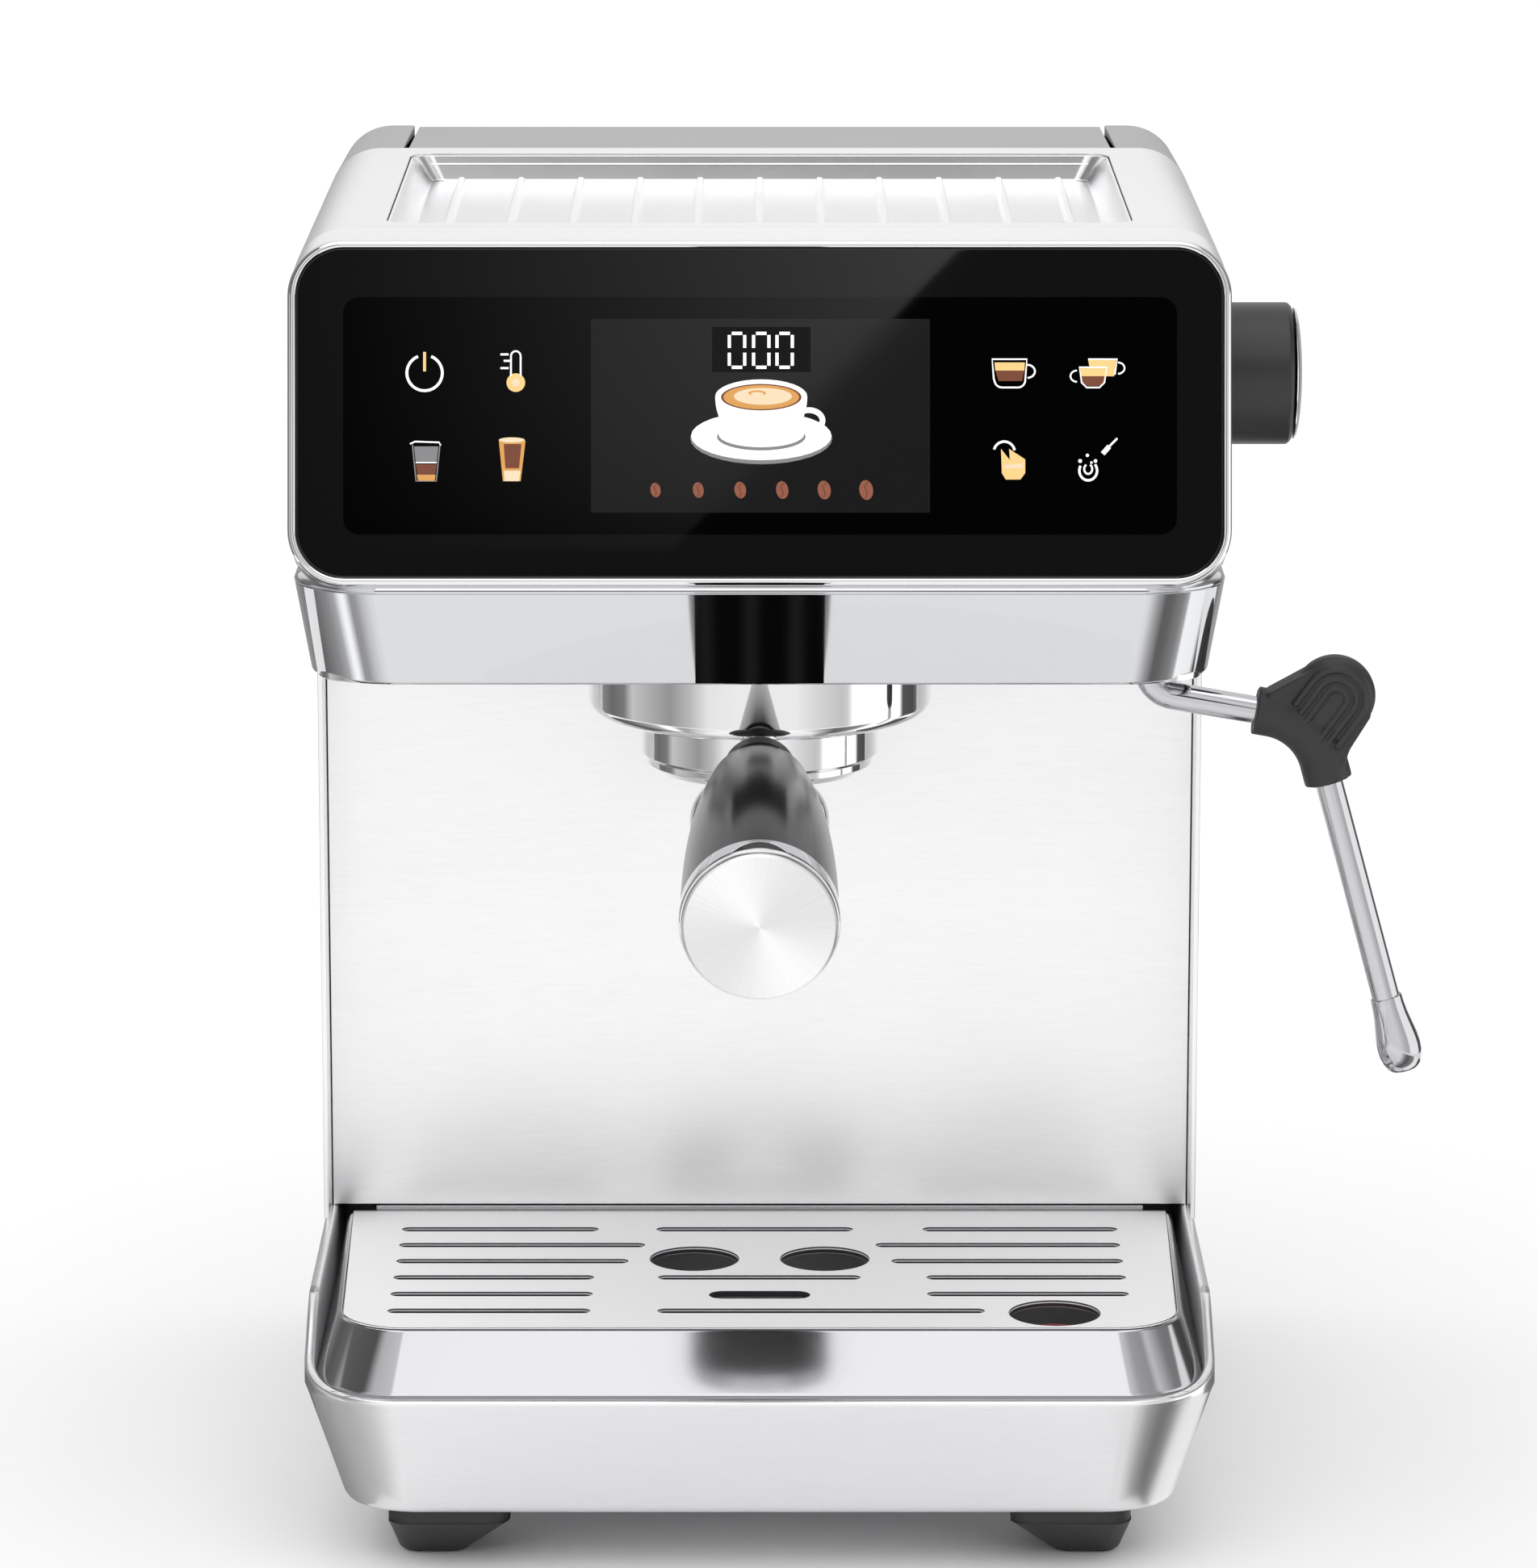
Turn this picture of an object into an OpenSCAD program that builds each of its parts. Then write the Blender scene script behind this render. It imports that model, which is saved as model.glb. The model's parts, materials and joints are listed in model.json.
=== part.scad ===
// Espresso machine with a touch screen, a 58 mm portafilter, a steam wand
// and a lift-out drip tray. Millimetres, +Z up, front towards -Y.
// Inside the modules X = 0 is the centre plane of the body, Y = 0 is the middle
// of the glass front and Z = 0 is the surface the feet stand on.

/* [Body] */
// Width over the casing sides
body_w = 265; // [255:1:280]
// Height from the table to the top of the head
body_h = 391; // [360:1:410]
// Distance from the middle of the glass to the rear face
body_rear = 288; // [282:1:300]
// Thickness of the steel casing sheet
casing_t = 1.5; // [1:0.1:2]
// Radius of the long top edges of the head
top_r = 16; // [12:1:20]
// Front edge of the column's side walls behind the glass
column_front = 122.5; // [112:0.5:128]
// Front face of the splash panel
splash_y = 140; // [136:1:144]
// Where the steel casing ends and the rear caps begin
crease_y = 214; // [208:1:220]
// How far the rear caps fall towards the back
cap_drop = 2; // [0:0.5:4]

/* [Head] */
// Height of the head from its underside to its top
head_h = 126; // [123:1:131]
// Height of the polished chin below the screen
chin_h = 29; // [26:0.5:29]
// Depth of the casing wrap in front of the column, measured from its front edge
casing_front = 33; // [30:1:38]
// Lean of the glass front
panel_lean = 12; // [9:1:14]
// Height of the glass
glass_h = 92.6; // [86:0.2:94]
// Thickness of the glass
glass_t = 3; // [2:0.5:4]
// Corner radius of the glass
glass_r = 13.5; // [10:0.5:18]
// Width of the bright ring round the glass
bezel_w = 2.4; // [2:0.2:4]
// Screen width
screen_w = 95; // [80:1:110]
// Screen height
screen_h = 54; // [40:1:60]

/* [Cup shelf] */
// Width of the flat margin on each side of the recess for cups
shelf_margin = 26; // [22.5:0.5:37]
// Front edge of the recess
shelf_front = 42; // [38:1:60]
// Rear edge of the recess
shelf_rear = 200; // [180:1:204]
// Depth of the recess
shelf_depth = 8; // [5:0.5:10]
// Number of ribs on the shelf
rib_count = 11; // [5:1:11]
// Distance from the side of the recess to the outermost rib
rib_inset = 15.5; // [12:0.5:24]
// Height of a rib
rib_h = 1.6; // [1:0.1:2.5]

/* [Brew group] */
// Distance of the group's axis behind the glass
group_y = 66; // [62:1:72]
// How far the chrome collar stands out round the portafilter bowl
collar_reach = 15.5; // [13.5:0.5:18.5]
// How far the collar hangs below the head
collar_drop = 20; // [16:0.5:22]
// Diameter of the portafilter bowl
bowl_d = 69; // [62:0.5:74]
// How far the bayonet lugs stand out of the bowl
lug_reach = 5; // [3.5:0.25:5.5]
// Distance from the outside of the bowl to the inside of the basket
basket_gap = 5.5; // [5:0.25:7.5]
// Depth of the filter basket
basket_depth = 23; // [16:1:24]
// Height of the bowl below the head
bowl_drop = 37; // [34:0.5:39]

/* [Portafilter handle] */
// Length of the handle from ferrule to end disc
handle_len = 120; // [100:1:130]
// Tilt of the handle below level
handle_tilt = 9; // [6:0.5:12]
// Diameter of the grip at the ferrule
grip_d1 = 22; // [20:0.5:25]
// Diameter of the grip at the end disc
grip_d2 = 42.6; // [36:0.2:46]

/* [Steam wand] */
// Diameter of the steam tube
tube_d = 8; // [7:0.5:9]
// Distance of the wand's ball inside the casing side
wand_inset = 20.5; // [18.5:0.5:26.5]
// Distance of the wand's ball behind the glass
wand_y = 50; // [44:1:56]
// Length of the straight part below the rubber grip
wand_len = 67; // [50:1:80]
// Diameter of the rubber grip
sleeve_d = 14; // [13:0.5:16]

/* [Steam knob] */
// Diameter of the steam knob
knob_d = 41; // [34:0.5:44]
// Length of the knob's barrel
knob_len = 20.5; // [16:0.5:26]

/* [Base and tray] */
// Height of the feet
foot_h = 18; // [14:1:22]
// Height of the base's front rim above the feet
rim_rise = 38.4; // [36:0.2:40]
// Height of the side rails above the front rim
rail_rise = 18.6; // [16:0.2:20]
// Thickness of the base's walls
base_wall = 3; // [2:0.1:3.4]
// Inward taper of the base from its rim to the feet
base_taper = 11; // [6:0.5:14]
// Length of the flat top of the drip grid
grid_len = 129; // [120:1:129]
// Thickness of the drip grid
grid_t = 2; // [1.5:0.1:3]
// Width of a slot in the grid
slot_w = 4.5; // [3:0.1:6]
// Distance between rows of slots
slot_pitch = 17.7; // [16:0.1:18]
// Diameter of the round holes in the grid
hole_d = 26.6; // [22:0.2:28]

/* [Water tank] */
// Distance of the tank lid inside the casing sides
lid_inset = 24.5; // [24.5:0.5:32.5]
// Wall of the water tank
tank_wall = 2.2; // [1.6:0.1:3]
// Height of the shelf the tank stands on
tank_seat = 198; // [190:1:206]

/* [Hidden] */

$fn = 64;
eps = 0.01;
gap = 0.3;            // clearance between pieces that move past each other
fit = 0.06;           // radial clearance of a running fit
half = body_w / 2;
inner = half - casing_t;

// heights
head_bottom = body_h - head_h;
chin_top = head_bottom + chin_h;
casing_low = chin_top;
panel_z = body_h - 48;
rim_z = foot_h + rim_rise;
rail_z = rim_z + rail_rise;
grid_z = rail_z - 1.5;
deck_z = head_bottom + 31;
deck_t = 1.5;
deck_top = deck_z + deck_t;
plate_t = 2;
floor_z = foot_h + plate_t;
shelf_z = body_h - shelf_depth;

// cup shelf
shelf_w = body_w - 2 * shelf_margin;
rib_pitch = (shelf_w - 2 * rib_inset) / (rib_count - 1);

// front panel
glass_w = body_w - 2 * bezel_w;
bezel_h = glass_h + 2 * bezel_w;

// chin
chin_front = -9.7;
chin_back = 1;
chin_r = 17;
chin_taper = 3.5;
chin_wall = 2;
chin_half = half - 0.8;

// base
base_front = -6.5;
base_r = 27;
base_lean = 14.5;
well_half = half - 15;
foot_x = half - 41.5;
foot_ys = [14, 236];
screw_xs = [-60, 60];
screw_ys = [60, 230];
rail_start = 46;
rail_end = 12;

// tray
tray_rear = splash_y - 1.5;
tray_slope = 12;
tray_front = base_front + base_wall + 0.5;
tray_r = base_r - base_wall - 0.5;
tub_r = base_r - 5;
tray_half = half - base_wall - 0.5;
grid_front = tray_front + tray_slope;
grid_rear = min(grid_front + grid_len, tray_rear - 0.5);
grid_half_front = half - 11;
grid_half_rear = half - 8;
slot_end = grid_half_front - 13;
grid_r = 18;
tub_half = half - base_taper - base_wall - 1;
tub_front = base_front + base_lean + base_wall + 1;
tub_z = floor_z + 2;
float_x = half - 46.5;
float_y = grid_front + 16.7;

// group, from the table up
collar_d = bowl_d + 2 * collar_reach;
lug_d = bowl_d + 2 * lug_reach;
basket_d = bowl_d - 2 * basket_gap;
sieve_pitch = basket_d / 7.73;
collar_z = head_bottom - collar_drop;
bowl_z = head_bottom - bowl_drop;
ledge_z = collar_z + 7;
lug_h = 5;
groove_z = ledge_z + lug_h + 2 * gap;
bowl_top = groove_z + 0.4;
basket_rim = 0.8;
gasket_z = bowl_top + basket_rim + gap;
gasket_h = 5;
hub_z = gasket_z + gasket_h;
collar_bore = bowl_d / 2 + 1.5;
groove_r = lug_d / 2 + 1;
collar_top = hub_z + 11;
lug_angle = 32;
turn = 50;
bowl_in = basket_d / 2 + 1.6;

// handle
handle_y = group_y - collar_d / 2 - 3;
handle_z = collar_z - 6.7;
ferrule_len = 6;
ring_len = 4;
end_len = 2.5;
grip_len = handle_len - ferrule_len - ring_len - end_len;
neck_run = (collar_d - bowl_d) / 2 + 8;

// steam wand
wand_x = half - wand_inset;
ball_r = 7;
ball_z = head_bottom + 3;
cup_r = 9;
neck_d = 5;
neck_len = 7;
arm_bend_r = 9;
arm_bend = 80;
arm_len = 28.8;
elbow_r = 20;
elbow_bend = 64.6;
elbow_tail = 5.9;
lean_out = arm_bend - elbow_bend;
tip_len = 22.5;
tip_r = 6.4;
arm_x = wand_x + arm_bend_r * (1 - cos(arm_bend)) + arm_len * sin(arm_bend);
arm_z = ball_z - neck_len - arm_bend_r * sin(arm_bend) - arm_len * cos(arm_bend);
elbow_x = arm_x + elbow_r * (cos(lean_out) - cos(arm_bend));
elbow_z = arm_z - elbow_r * (sin(arm_bend) - sin(lean_out));
tip_reach = elbow_x + (elbow_tail + wand_len + 0.7 * tip_len) * sin(lean_out) + tip_r;

// knob and valve
knob_y = group_y;
knob_z = panel_z + 1;
stem_r = 4;
valve_x = inner - 32;
dome_h = 3;

// tank
cap_low = body_h - 46;
bulkhead_t = 1.5;
lid_half = half - lid_inset;
bulkhead_y = crease_y - bulkhead_t - 0.5;
tank_front = crease_y + 2;
tank_rear = body_rear - 4;
tank_half = lid_half - 4;
lid_t = 3;
lid_front = crease_y + 0.8;
lid_z = body_h - cap_drop - lid_t - 0.5;
pin_y = body_rear - 3.5;
pin_z = lid_z - 3.2;
pin_r = 1.5;
barrel_r = 3;
tank_low = tank_seat + plate_t;
tank_top = lid_z - 7;
ear_x = tank_half - 24;
ear_t = 4;
ear_r = 2.8;
lug_w = 8;
valve_r = 8;

// heater block on the deck
block_w = 116;
block_x0 = 28.5 - half;
block_x1 = block_x0 + block_w;
block_y0 = 128;
solenoid_x = block_x1 + 42;
solenoid_y = block_y0 - 18;
block_l = 70;
block_y = block_y0 + block_l / 2;
block_z = deck_top + 6;
block_h = 34;

// machine parts under the tank
pump_y = (bulkhead_y + body_rear) / 2 + 1;
pump_z = floor_z + 42;
pump_r = 20;
pressure_x = half - 44.5;
gland_x = 62.5 - half;
gland_z = foot_h + 32;
gland_r = 8;
gland_out = 6;
board_x = 62.5 - half;
board_w = 130;
board_h = 100;
board_z = tank_seat - 88;
board_off = 8;
board_t = 1.6;

// the frame's origin: middle of the whole machine on the table
shift_x = -(tip_reach - half) / 2;
handle_reach = handle_y - handle_len * cos(handle_tilt) - grip_d2 / 2 * sin(handle_tilt);
shift_y = -(body_rear + gland_out + handle_reach) / 2;

// colours
steel = [0.86, 0.87, 0.88];
chrome = [0.75, 0.76, 0.78];
black = [0.07, 0.07, 0.075];
rubber = [0.12, 0.12, 0.12];
grey = [0.55, 0.55, 0.56];
brass = [0.76, 0.6, 0.3];
board = [0.08, 0.3, 0.18];

module place() translate([shift_x, shift_y, 0]) children();

// ---------- shapes ----------

// Rounded rectangle centred on the origin
module rounded_rect(w, h, r) {
    square([w - 2 * r, h], center = true);
    square([w, h - 2 * r], center = true);
    for (x = [-1, 1], y = [-1, 1])
        translate([x * (w / 2 - r), y * (h / 2 - r)]) circle(r = r);
}

// Rounded slab between two Y values, standing on z
module slab(w, y0, y1, r, z, h) {
    translate([0, (y0 + y1) / 2, z]) linear_extrude(h) rounded_rect(w, y1 - y0, r);
}

// Box between two corners
module box(a, b) translate(a) cube(b - a);

// Extrude an outline drawn in X and Z from y0 to y1
module along_y(y0, y1) translate([0, y1, 0]) rotate([90, 0, 0]) linear_extrude(y1 - y0) children();

// Extrude an outline drawn in Y and Z from x0 to x1
module along_x(x0, x1) translate([x0, 0, 0]) rotate([90, 0, 90]) linear_extrude(x1 - x0) children();

// Cylinder with its axis along X
module rod_x(x0, x1, r) translate([x0, 0, 0]) rotate([0, 90, 0]) cylinder(r = r, h = x1 - x0);

// Arch outline of the head: straight sides, rounded top corners
module arch(hw, z0, z1, r) {
    translate([-hw, z0]) square([2 * hw, z1 - r - z0]);
    translate([-hw + r, z0]) square([2 * (hw - r), z1 - z0]);
    for (x = [-1, 1]) translate([x * (hw - r), z1 - r]) circle(r = r);
}

// Flat plan outline, wider at the back than at the front, with round front corners
function corner(x, y, r, a0) = [for (i = [0:8]) [x + r * cos(a0 + i * 90 / 8),
    y + r * sin(a0 + i * 90 / 8)]];
module tapered_plan(hf, hr, y0, y1, r) {
    polygon(concat([[hr, y1], [-hr, y1]], corner(-hf + r, y0 + r, r, 180), corner(hf - r, y0 + r, r, 270)));
}

// Capsule-shaped slot from x0 to x1
module slot2d(x0, x1, y, w) {
    translate([x0 + w / 2, y - w / 2]) square([x1 - x0 - w, w]);
    for (x = [x0 + w / 2, x1 - w / 2]) translate([x, y]) circle(d = w, $fn = 24);
}

// Quarter or other part of a torus, from the origin along +Z and bending towards +X
module bend(d, r, a) {
    translate([r, 0, 0]) rotate([90, 0, 0]) rotate([0, 0, 180 - a]) rotate_extrude(angle = a)
        translate([r, 0]) circle(d = d, $fn = 32);
}

// Tube of straight legs and bends. A leg is [length, bend radius, bend angle, twist]
module bent_tube(d, legs, i = 0) {
    leg = legs[i];
    if (leg[0] > 0) cylinder(d = d, h = leg[0], $fn = 32);
    translate([0, 0, leg[0]]) rotate([0, 0, leg[3]]) {
        if (leg[2] > 0) bend(d, leg[1], leg[2]);
        if (i + 1 < len(legs))
            translate([leg[1] * (1 - cos(leg[2])), 0, leg[1] * sin(leg[2])])
                rotate([0, leg[2], 0]) bent_tube(d, legs, i + 1);
    }
}

// Frame of the glass: X across, Y up the glass, Z out of its face
module on_panel() translate([0, 0, panel_z]) rotate([90 - panel_lean, 0, 0]) children();

// Frame of the portafilter's grip: Z runs out along the handle
module on_handle() translate([0, handle_y, handle_z]) rotate([90 + handle_tilt, 0, 0]) children();

// ---------- base ----------

// Solid base: tapered below the rim, upright above it, top cut along the sloping rails
module base_form(inset) {
    w = body_w - 2 * inset;
    rear = body_rear - inset;
    hull() {
        slab(w - 2 * base_taper, base_front + base_lean + inset, rear - 5, base_r - 5, foot_h, 1);
        slab(w, base_front + inset, rear, base_r - inset, rim_z - 1, 1);
    }
    intersection() {
        slab(w, base_front + inset, rear, base_r - inset, rim_z - 1, rail_rise + 1);
        along_x(-half, half) polygon([[body_rear, foot_h], [base_front - 2, foot_h], [base_front - 2,
            rim_z],
            [rail_end, rim_z + 3], [rail_start, rail_z], [body_rear, rail_z]]);
    }
}

module base_shell() {
    color(steel) place() {
        difference() {
            base_form(0);
            translate([0, 0, plate_t]) intersection() {
                base_form(base_wall);
                box([-body_w, base_front, foot_h - 1], [body_w, splash_y, rail_z + 9]);
            }
            box([-well_half, splash_y + 4, floor_z], [well_half, body_rear - 8, rail_z + 1]);
            for (x = screw_xs, y = screw_ys) translate([x, y, foot_h - 1]) cylinder(r = 2.1, h = 4,
                $fn = 24);
            translate([gland_x, body_rear - 10, gland_z]) rotate([-90, 0, 0]) cylinder(r = gland_r + 2,
                h = 20);
        }
        for (x = [-70, 70]) box([x - 4, 20, floor_z - eps], [x + 4, 120, tub_z - gap]);
    }
}

module base_screws() {
    color(chrome) place() for (x = screw_xs, y = screw_ys) translate([x, y, foot_h - 2]) {
        difference() {
            cylinder(r = 4, h = 2, $fn = 24);
            for (a = [0, 90]) rotate(a) translate([-2, -0.5, -1]) cube([4, 1, 2]);
        }
        translate([0, 0, 1.5]) cylinder(r = 2, h = 0.5 + plate_t, $fn = 24);
    }
}

module foot(side, y) {
    // the sole is offset outwards, so the inner face leans
    hull() {
        translate([side * (foot_x + 4.5), y + 24, 0]) linear_extrude(1) rounded_rect(21, 22, 5);
        translate([side * foot_x, y + 19, foot_h - 3]) linear_extrude(3) rounded_rect(35, 38, 7);
    }
}

module feet() {
    color(rubber) place() for (side = [-1, 1], y = foot_ys) foot(side, y);
}

// ---------- casing ----------

module body_casing() {
    color(steel) place() difference() {
        union() {
            along_y(casing_front, crease_y) difference() {
                arch(half, casing_low, body_h, top_r);
                arch(inner, casing_low - 1, body_h - casing_t, top_r - casing_t);
            }
            for (x = [-half, inner]) {
                box([x, column_front, rail_z], [x + casing_t, crease_y, casing_low + 1]);
                box([x, crease_y - 1, rail_z], [x + casing_t, body_rear, cap_low]);
            }
        }
        slab(shelf_w, shelf_front, shelf_rear, 7, body_h - 20, 30);
        translate([0, knob_y, knob_z]) rod_x(inner - 5, half + 5, stem_r + 2);
    }
}

cap_t = 3;
module cap_arch(y, drop, inset) {
    translate([0, y, 0]) rotate([90, 0, 0]) linear_extrude(0.5)
        translate([0, -drop]) arch(half - inset, cap_low + cap_drop, body_h - inset, top_r - inset);
}

module rear_cap(side) {
    color(grey) place() intersection() {
        difference() {
            hull() {
                cap_arch(crease_y + 0.9, 0, 0);
                cap_arch(body_rear, cap_drop, 0);
            }
            translate([0, -cap_t, -eps]) hull() {
                cap_arch(crease_y - 1, 0, cap_t);
                cap_arch(body_rear, cap_drop, cap_t);
            }
        }
        box([side > 0 ? lid_half + 1.5 : -half - 1, crease_y, cap_low],
            [side > 0 ? half + 1 : -lid_half - 1.5, body_rear + 1, body_h + 1]);
    }
}
module rear_cap_left() rear_cap(-1);
module rear_cap_right() rear_cap(1);

module splash_panel() {
    color(steel) place() box([-inner + 0.3, splash_y, rail_z], [inner - 0.3, splash_y + 1.5, deck_z]);
}

module rear_panel() {
    color(steel) place() difference() {
        box([-inner + 0.3, body_rear - 2, rail_z], [inner - 0.3, body_rear - 0.5, tank_seat]);
        for (i = [0:8]) along_y(body_rear - 5, body_rear + 5) translate([0, tank_seat - 88 + i * 8])
            slot2d(-45, 45, 0, 3.5);
    }
}

module cord_gland() {
    color(rubber) place() translate([gland_x, body_rear, gland_z]) rotate([-90, 0, 0]) difference() {
        union() {
            translate([0, 0, -3.9]) cylinder(r = gland_r + 1.9, h = 3.9);
            cylinder(r1 = gland_r + 3, r2 = gland_r, h = gland_out);
        }
        translate([0, 0, -9]) cylinder(r = 3.75, h = 30);
    }
}

module chassis() {
    color(grey) place() {
        difference() {
            union() {
                box([-inner + 2, bulkhead_y, rail_z], [inner - 2, bulkhead_y + bulkhead_t, shelf_z - 6]);
                box([-well_half + 1, bulkhead_y, floor_z], [well_half - 1, bulkhead_y + bulkhead_t,
                    rail_z + 1]);
            }
            along_y(bulkhead_y - 5, bulkhead_y + 5) translate([pressure_x, pump_z]) circle(r = 6);
        }
        difference() {
            box([-inner + 2, 22, deck_z], [inner - 2, bulkhead_y + eps, deck_top]);
            translate([0, group_y, deck_z - 5]) cylinder(r = 14, h = 20);
            translate([wand_x, wand_y, deck_z - 5]) cylinder(r = 8, h = 20);
            translate([pressure_x, block_y, deck_z - 5]) cylinder(r = 6, h = 20);
        }
    }
}

// ---------- head ----------

module chin_form(inset, z0, z1) {
    t = (chin_top - z0) / chin_h;
    u = (chin_top - z1) / chin_h;
    hull() {
        slab(2 * (chin_half - inset - chin_taper * t), chin_front + inset + (chin_back - chin_front) * t,
            splash_y + 20, chin_r - inset, z0, 0.4);
        slab(2 * (chin_half - inset - chin_taper * u), chin_front + inset + (chin_back - chin_front) * u,
            splash_y + 20, chin_r - inset, z1 - 0.4, 0.4);
    }
}

module chin_fascia() {
    color(chrome) place() intersection() {
        difference() {
            chin_form(0, head_bottom, chin_top);
            chin_form(chin_wall, head_bottom - 0.6, chin_top + 0.6);
        }
        box([-half, -50, head_bottom - 1], [half, column_front, chin_top + 1]);
    }
}

module head_base() {
    color(chrome) place() difference() {
        slab(2 * (chin_half - chin_taper - chin_wall - 0.6), chin_back + chin_wall + 0.8, splash_y + 40,
            chin_r - 3, head_bottom, plate_t);
        box([-half, splash_y, head_bottom - 5], [half, splash_y + 99, head_bottom + 9]);
        translate([0, group_y, head_bottom - 5]) cylinder(d = collar_d + 1, h = 20, $fn = 96);
        translate([wand_x, wand_y, head_bottom - 5]) cylinder(r = cup_r + 0.3, h = 20);
    }
}

module frame_form(inset, back) {
    hull() {
        on_panel() translate([0, 0, -6]) linear_extrude(1)
            rounded_rect(body_w - 2 * inset, bezel_h - 2 * inset, glass_r + bezel_w - inset);
        along_y(casing_front - 1, casing_front + back) arch(half - inset, casing_low + inset,
            body_h - inset, top_r - inset);
    }
}

module front_frame() {
    color(steel) place() difference() {
        frame_form(0, -0.2);
        frame_form(3, 2);
        on_panel() translate([0, 0, -5]) linear_extrude(9)
            rounded_rect(body_w + 9, bezel_h + 40, 5);
        on_panel() translate([0, 0, -20]) linear_extrude(30)
            rounded_rect(glass_w - 12, glass_h - 12, glass_r - 6);
        box([3.3 - half, 12, casing_low - 9], [half - 3.3, casing_front + 9, casing_low + 6]);
    }
}

module bezel() {
    color(chrome) place() on_panel() difference() {
        union() {
            translate([0, 0, -5]) linear_extrude(5) rounded_rect(body_w, bezel_h, glass_r + bezel_w);
            linear_extrude(0.6) rounded_rect(body_w - 1, bezel_h - 1, glass_r + bezel_w - 0.5);
        }
        translate([0, 0, -glass_t]) linear_extrude(9) rounded_rect(glass_w, glass_h, glass_r);
        translate([0, 0, -9]) linear_extrude(9) rounded_rect(glass_w - 6, glass_h - 6, glass_r - 3);
    }
}

module front_glass() {
    color(black) place() on_panel() translate([0, 0, -glass_t])
        linear_extrude(glass_t) rounded_rect(glass_w - 0.2, glass_h - 0.2, glass_r - 0.1);
}

module display_module() {
    color([0.15, 0.15, 0.16]) place() on_panel() translate([0, 0, -glass_t - 5]) {
        linear_extrude(5) square([screen_w + 8, screen_h + 8], center = true);
    }
}

module touch_board() {
    color(board) place() on_panel() difference() {
        union() {
            translate([0, 0, -glass_t - 1.6]) linear_extrude(1.6)
                square([glass_w - 40, glass_h - 24], center = true);
            for (x = [-1, 1]) translate([x * 86, -14, -glass_t - 5]) linear_extrude(3.5)
                square([18, 12], center = true);
        }
        translate([0, 0, -glass_t - 9]) linear_extrude(20) square([screen_w + 8.6, screen_h + 8.6],
            center = true);
    }
}

module cup_shelf() {
    color(steel) place() {
        difference() {
            union() {
                hull() {
                    slab(shelf_w - 0.6, shelf_front + 0.3, shelf_rear - 0.3, 6.7, body_h - 3.6, 1);
                    slab(shelf_w - 10, shelf_front + 4, shelf_rear - 1.5, 6, shelf_z - 1.5, 1);
                }
                slab(shelf_w + 8, shelf_front - 4, shelf_rear + 4, 8, body_h - casing_t - 2, 2);
            }
            hull() {
                slab(shelf_w - 3.4, shelf_front + 2, shelf_rear - 1.8, 6, body_h - 2.6, 3);
                slab(shelf_w - 13, shelf_front + 6, shelf_rear - 2.8, 5, shelf_z, 1);
            }
        }
        for (i = [0:rib_count - 1]) translate([(i - (rib_count - 1) / 2) * rib_pitch, 0, shelf_z - 0.2])
            along_y(shelf_front + 10, shelf_rear - 5)
                polygon([[-2.2, 0], [2.2, 0], [1.2, rib_h + 0.2], [-1.2, rib_h + 0.2]]);
    }
}

// ---------- brew group ----------

module on_group(z = 0) translate([0, group_y, z]) children();

module group_casting() {
    color(brass) place() on_group() difference() {
        union() {
            translate([0, 0, hub_z]) cylinder(r = groove_r - 0.1, h = collar_top - hub_z, $fn = 96);
            translate([0, 0, collar_top]) cylinder(d = collar_d - 8, h = deck_z - collar_top, $fn = 96);
            translate([0, 0, hub_z - 3]) cylinder(r = 8, h = 4);
            translate([0, 0, deck_z - 1]) cylinder(r = 11, h = deck_t + 11);
        }
        translate([0, 0, hub_z - 9]) cylinder(r = 2, h = 99, $fn = 24);
        for (a = [45:90:315]) rotate(a) translate([collar_d / 2 - 12, 0, collar_top + 2])
            cylinder(r = 2.5, h = 99, $fn = 24);
    }
}

// Ring that takes the bayonet: two lug gates, a groove and a stepped bore
module bayonet_collar() {
    color(chrome) place() on_group() difference() {
        rotate_extrude($fn = 96) polygon(concat([[collar_bore, collar_z], [collar_d / 2 - 4, collar_z]],
            [for (i = [1:4]) [collar_d / 2 - 4 + 4 * sin(i * 22.5), collar_z + 4 - 4 * cos(i * 22.5)]],
            [[collar_d / 2, collar_top], [groove_r, collar_top], [groove_r, hub_z], [collar_bore, hub_z],
             [collar_bore, groove_z], [groove_r, groove_z], [groove_r, ledge_z], [collar_bore, ledge_z]]));
        for (side = [0, 180]) rotate(side - turn) intersection() {
            translate([0, 0, collar_z - 1]) cylinder(r = groove_r - 0.2, h = ledge_z - collar_z + 2,
                $fn = 96);
            translate([0, 0, collar_z - 1]) rotate(-lug_angle / 2 - 2) sector(60, lug_angle + 4, 20);
        }
    }
}

// Wedge of a disc from angle 0 to a
module sector(r, a, h) {
    linear_extrude(h) polygon([[0, 0], [r, 0], [r * cos(a / 2) * 1.3, r * sin(a / 2) * 1.3],
        [r * cos(a), r * sin(a)]]);
}

module group_gasket() {
    color(rubber) place() on_group(gasket_z) difference() {
        cylinder(r = collar_bore - 0.1, h = gasket_h, $fn = 96);
        translate([0, 0, -1]) cylinder(r = basket_d / 2 + 0.5, h = 20, $fn = 96);
    }
}

module shower_screen() {
    color(chrome) place() on_group(hub_z - 4.2) difference() {
        cylinder(r = basket_d / 2 - 0.6, h = 1.2, $fn = 96);
        translate([0, 0, -1]) cylinder(r = 2.1, h = 9, $fn = 24);
        for (ring = [1:3], i = [0:ring * 6 - 1]) rotate(i * 60 / ring) translate([ring * 7.5, 0, -1])
            cylinder(r = 0.9, h = 9, $fn = 16);
    }
}

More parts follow.
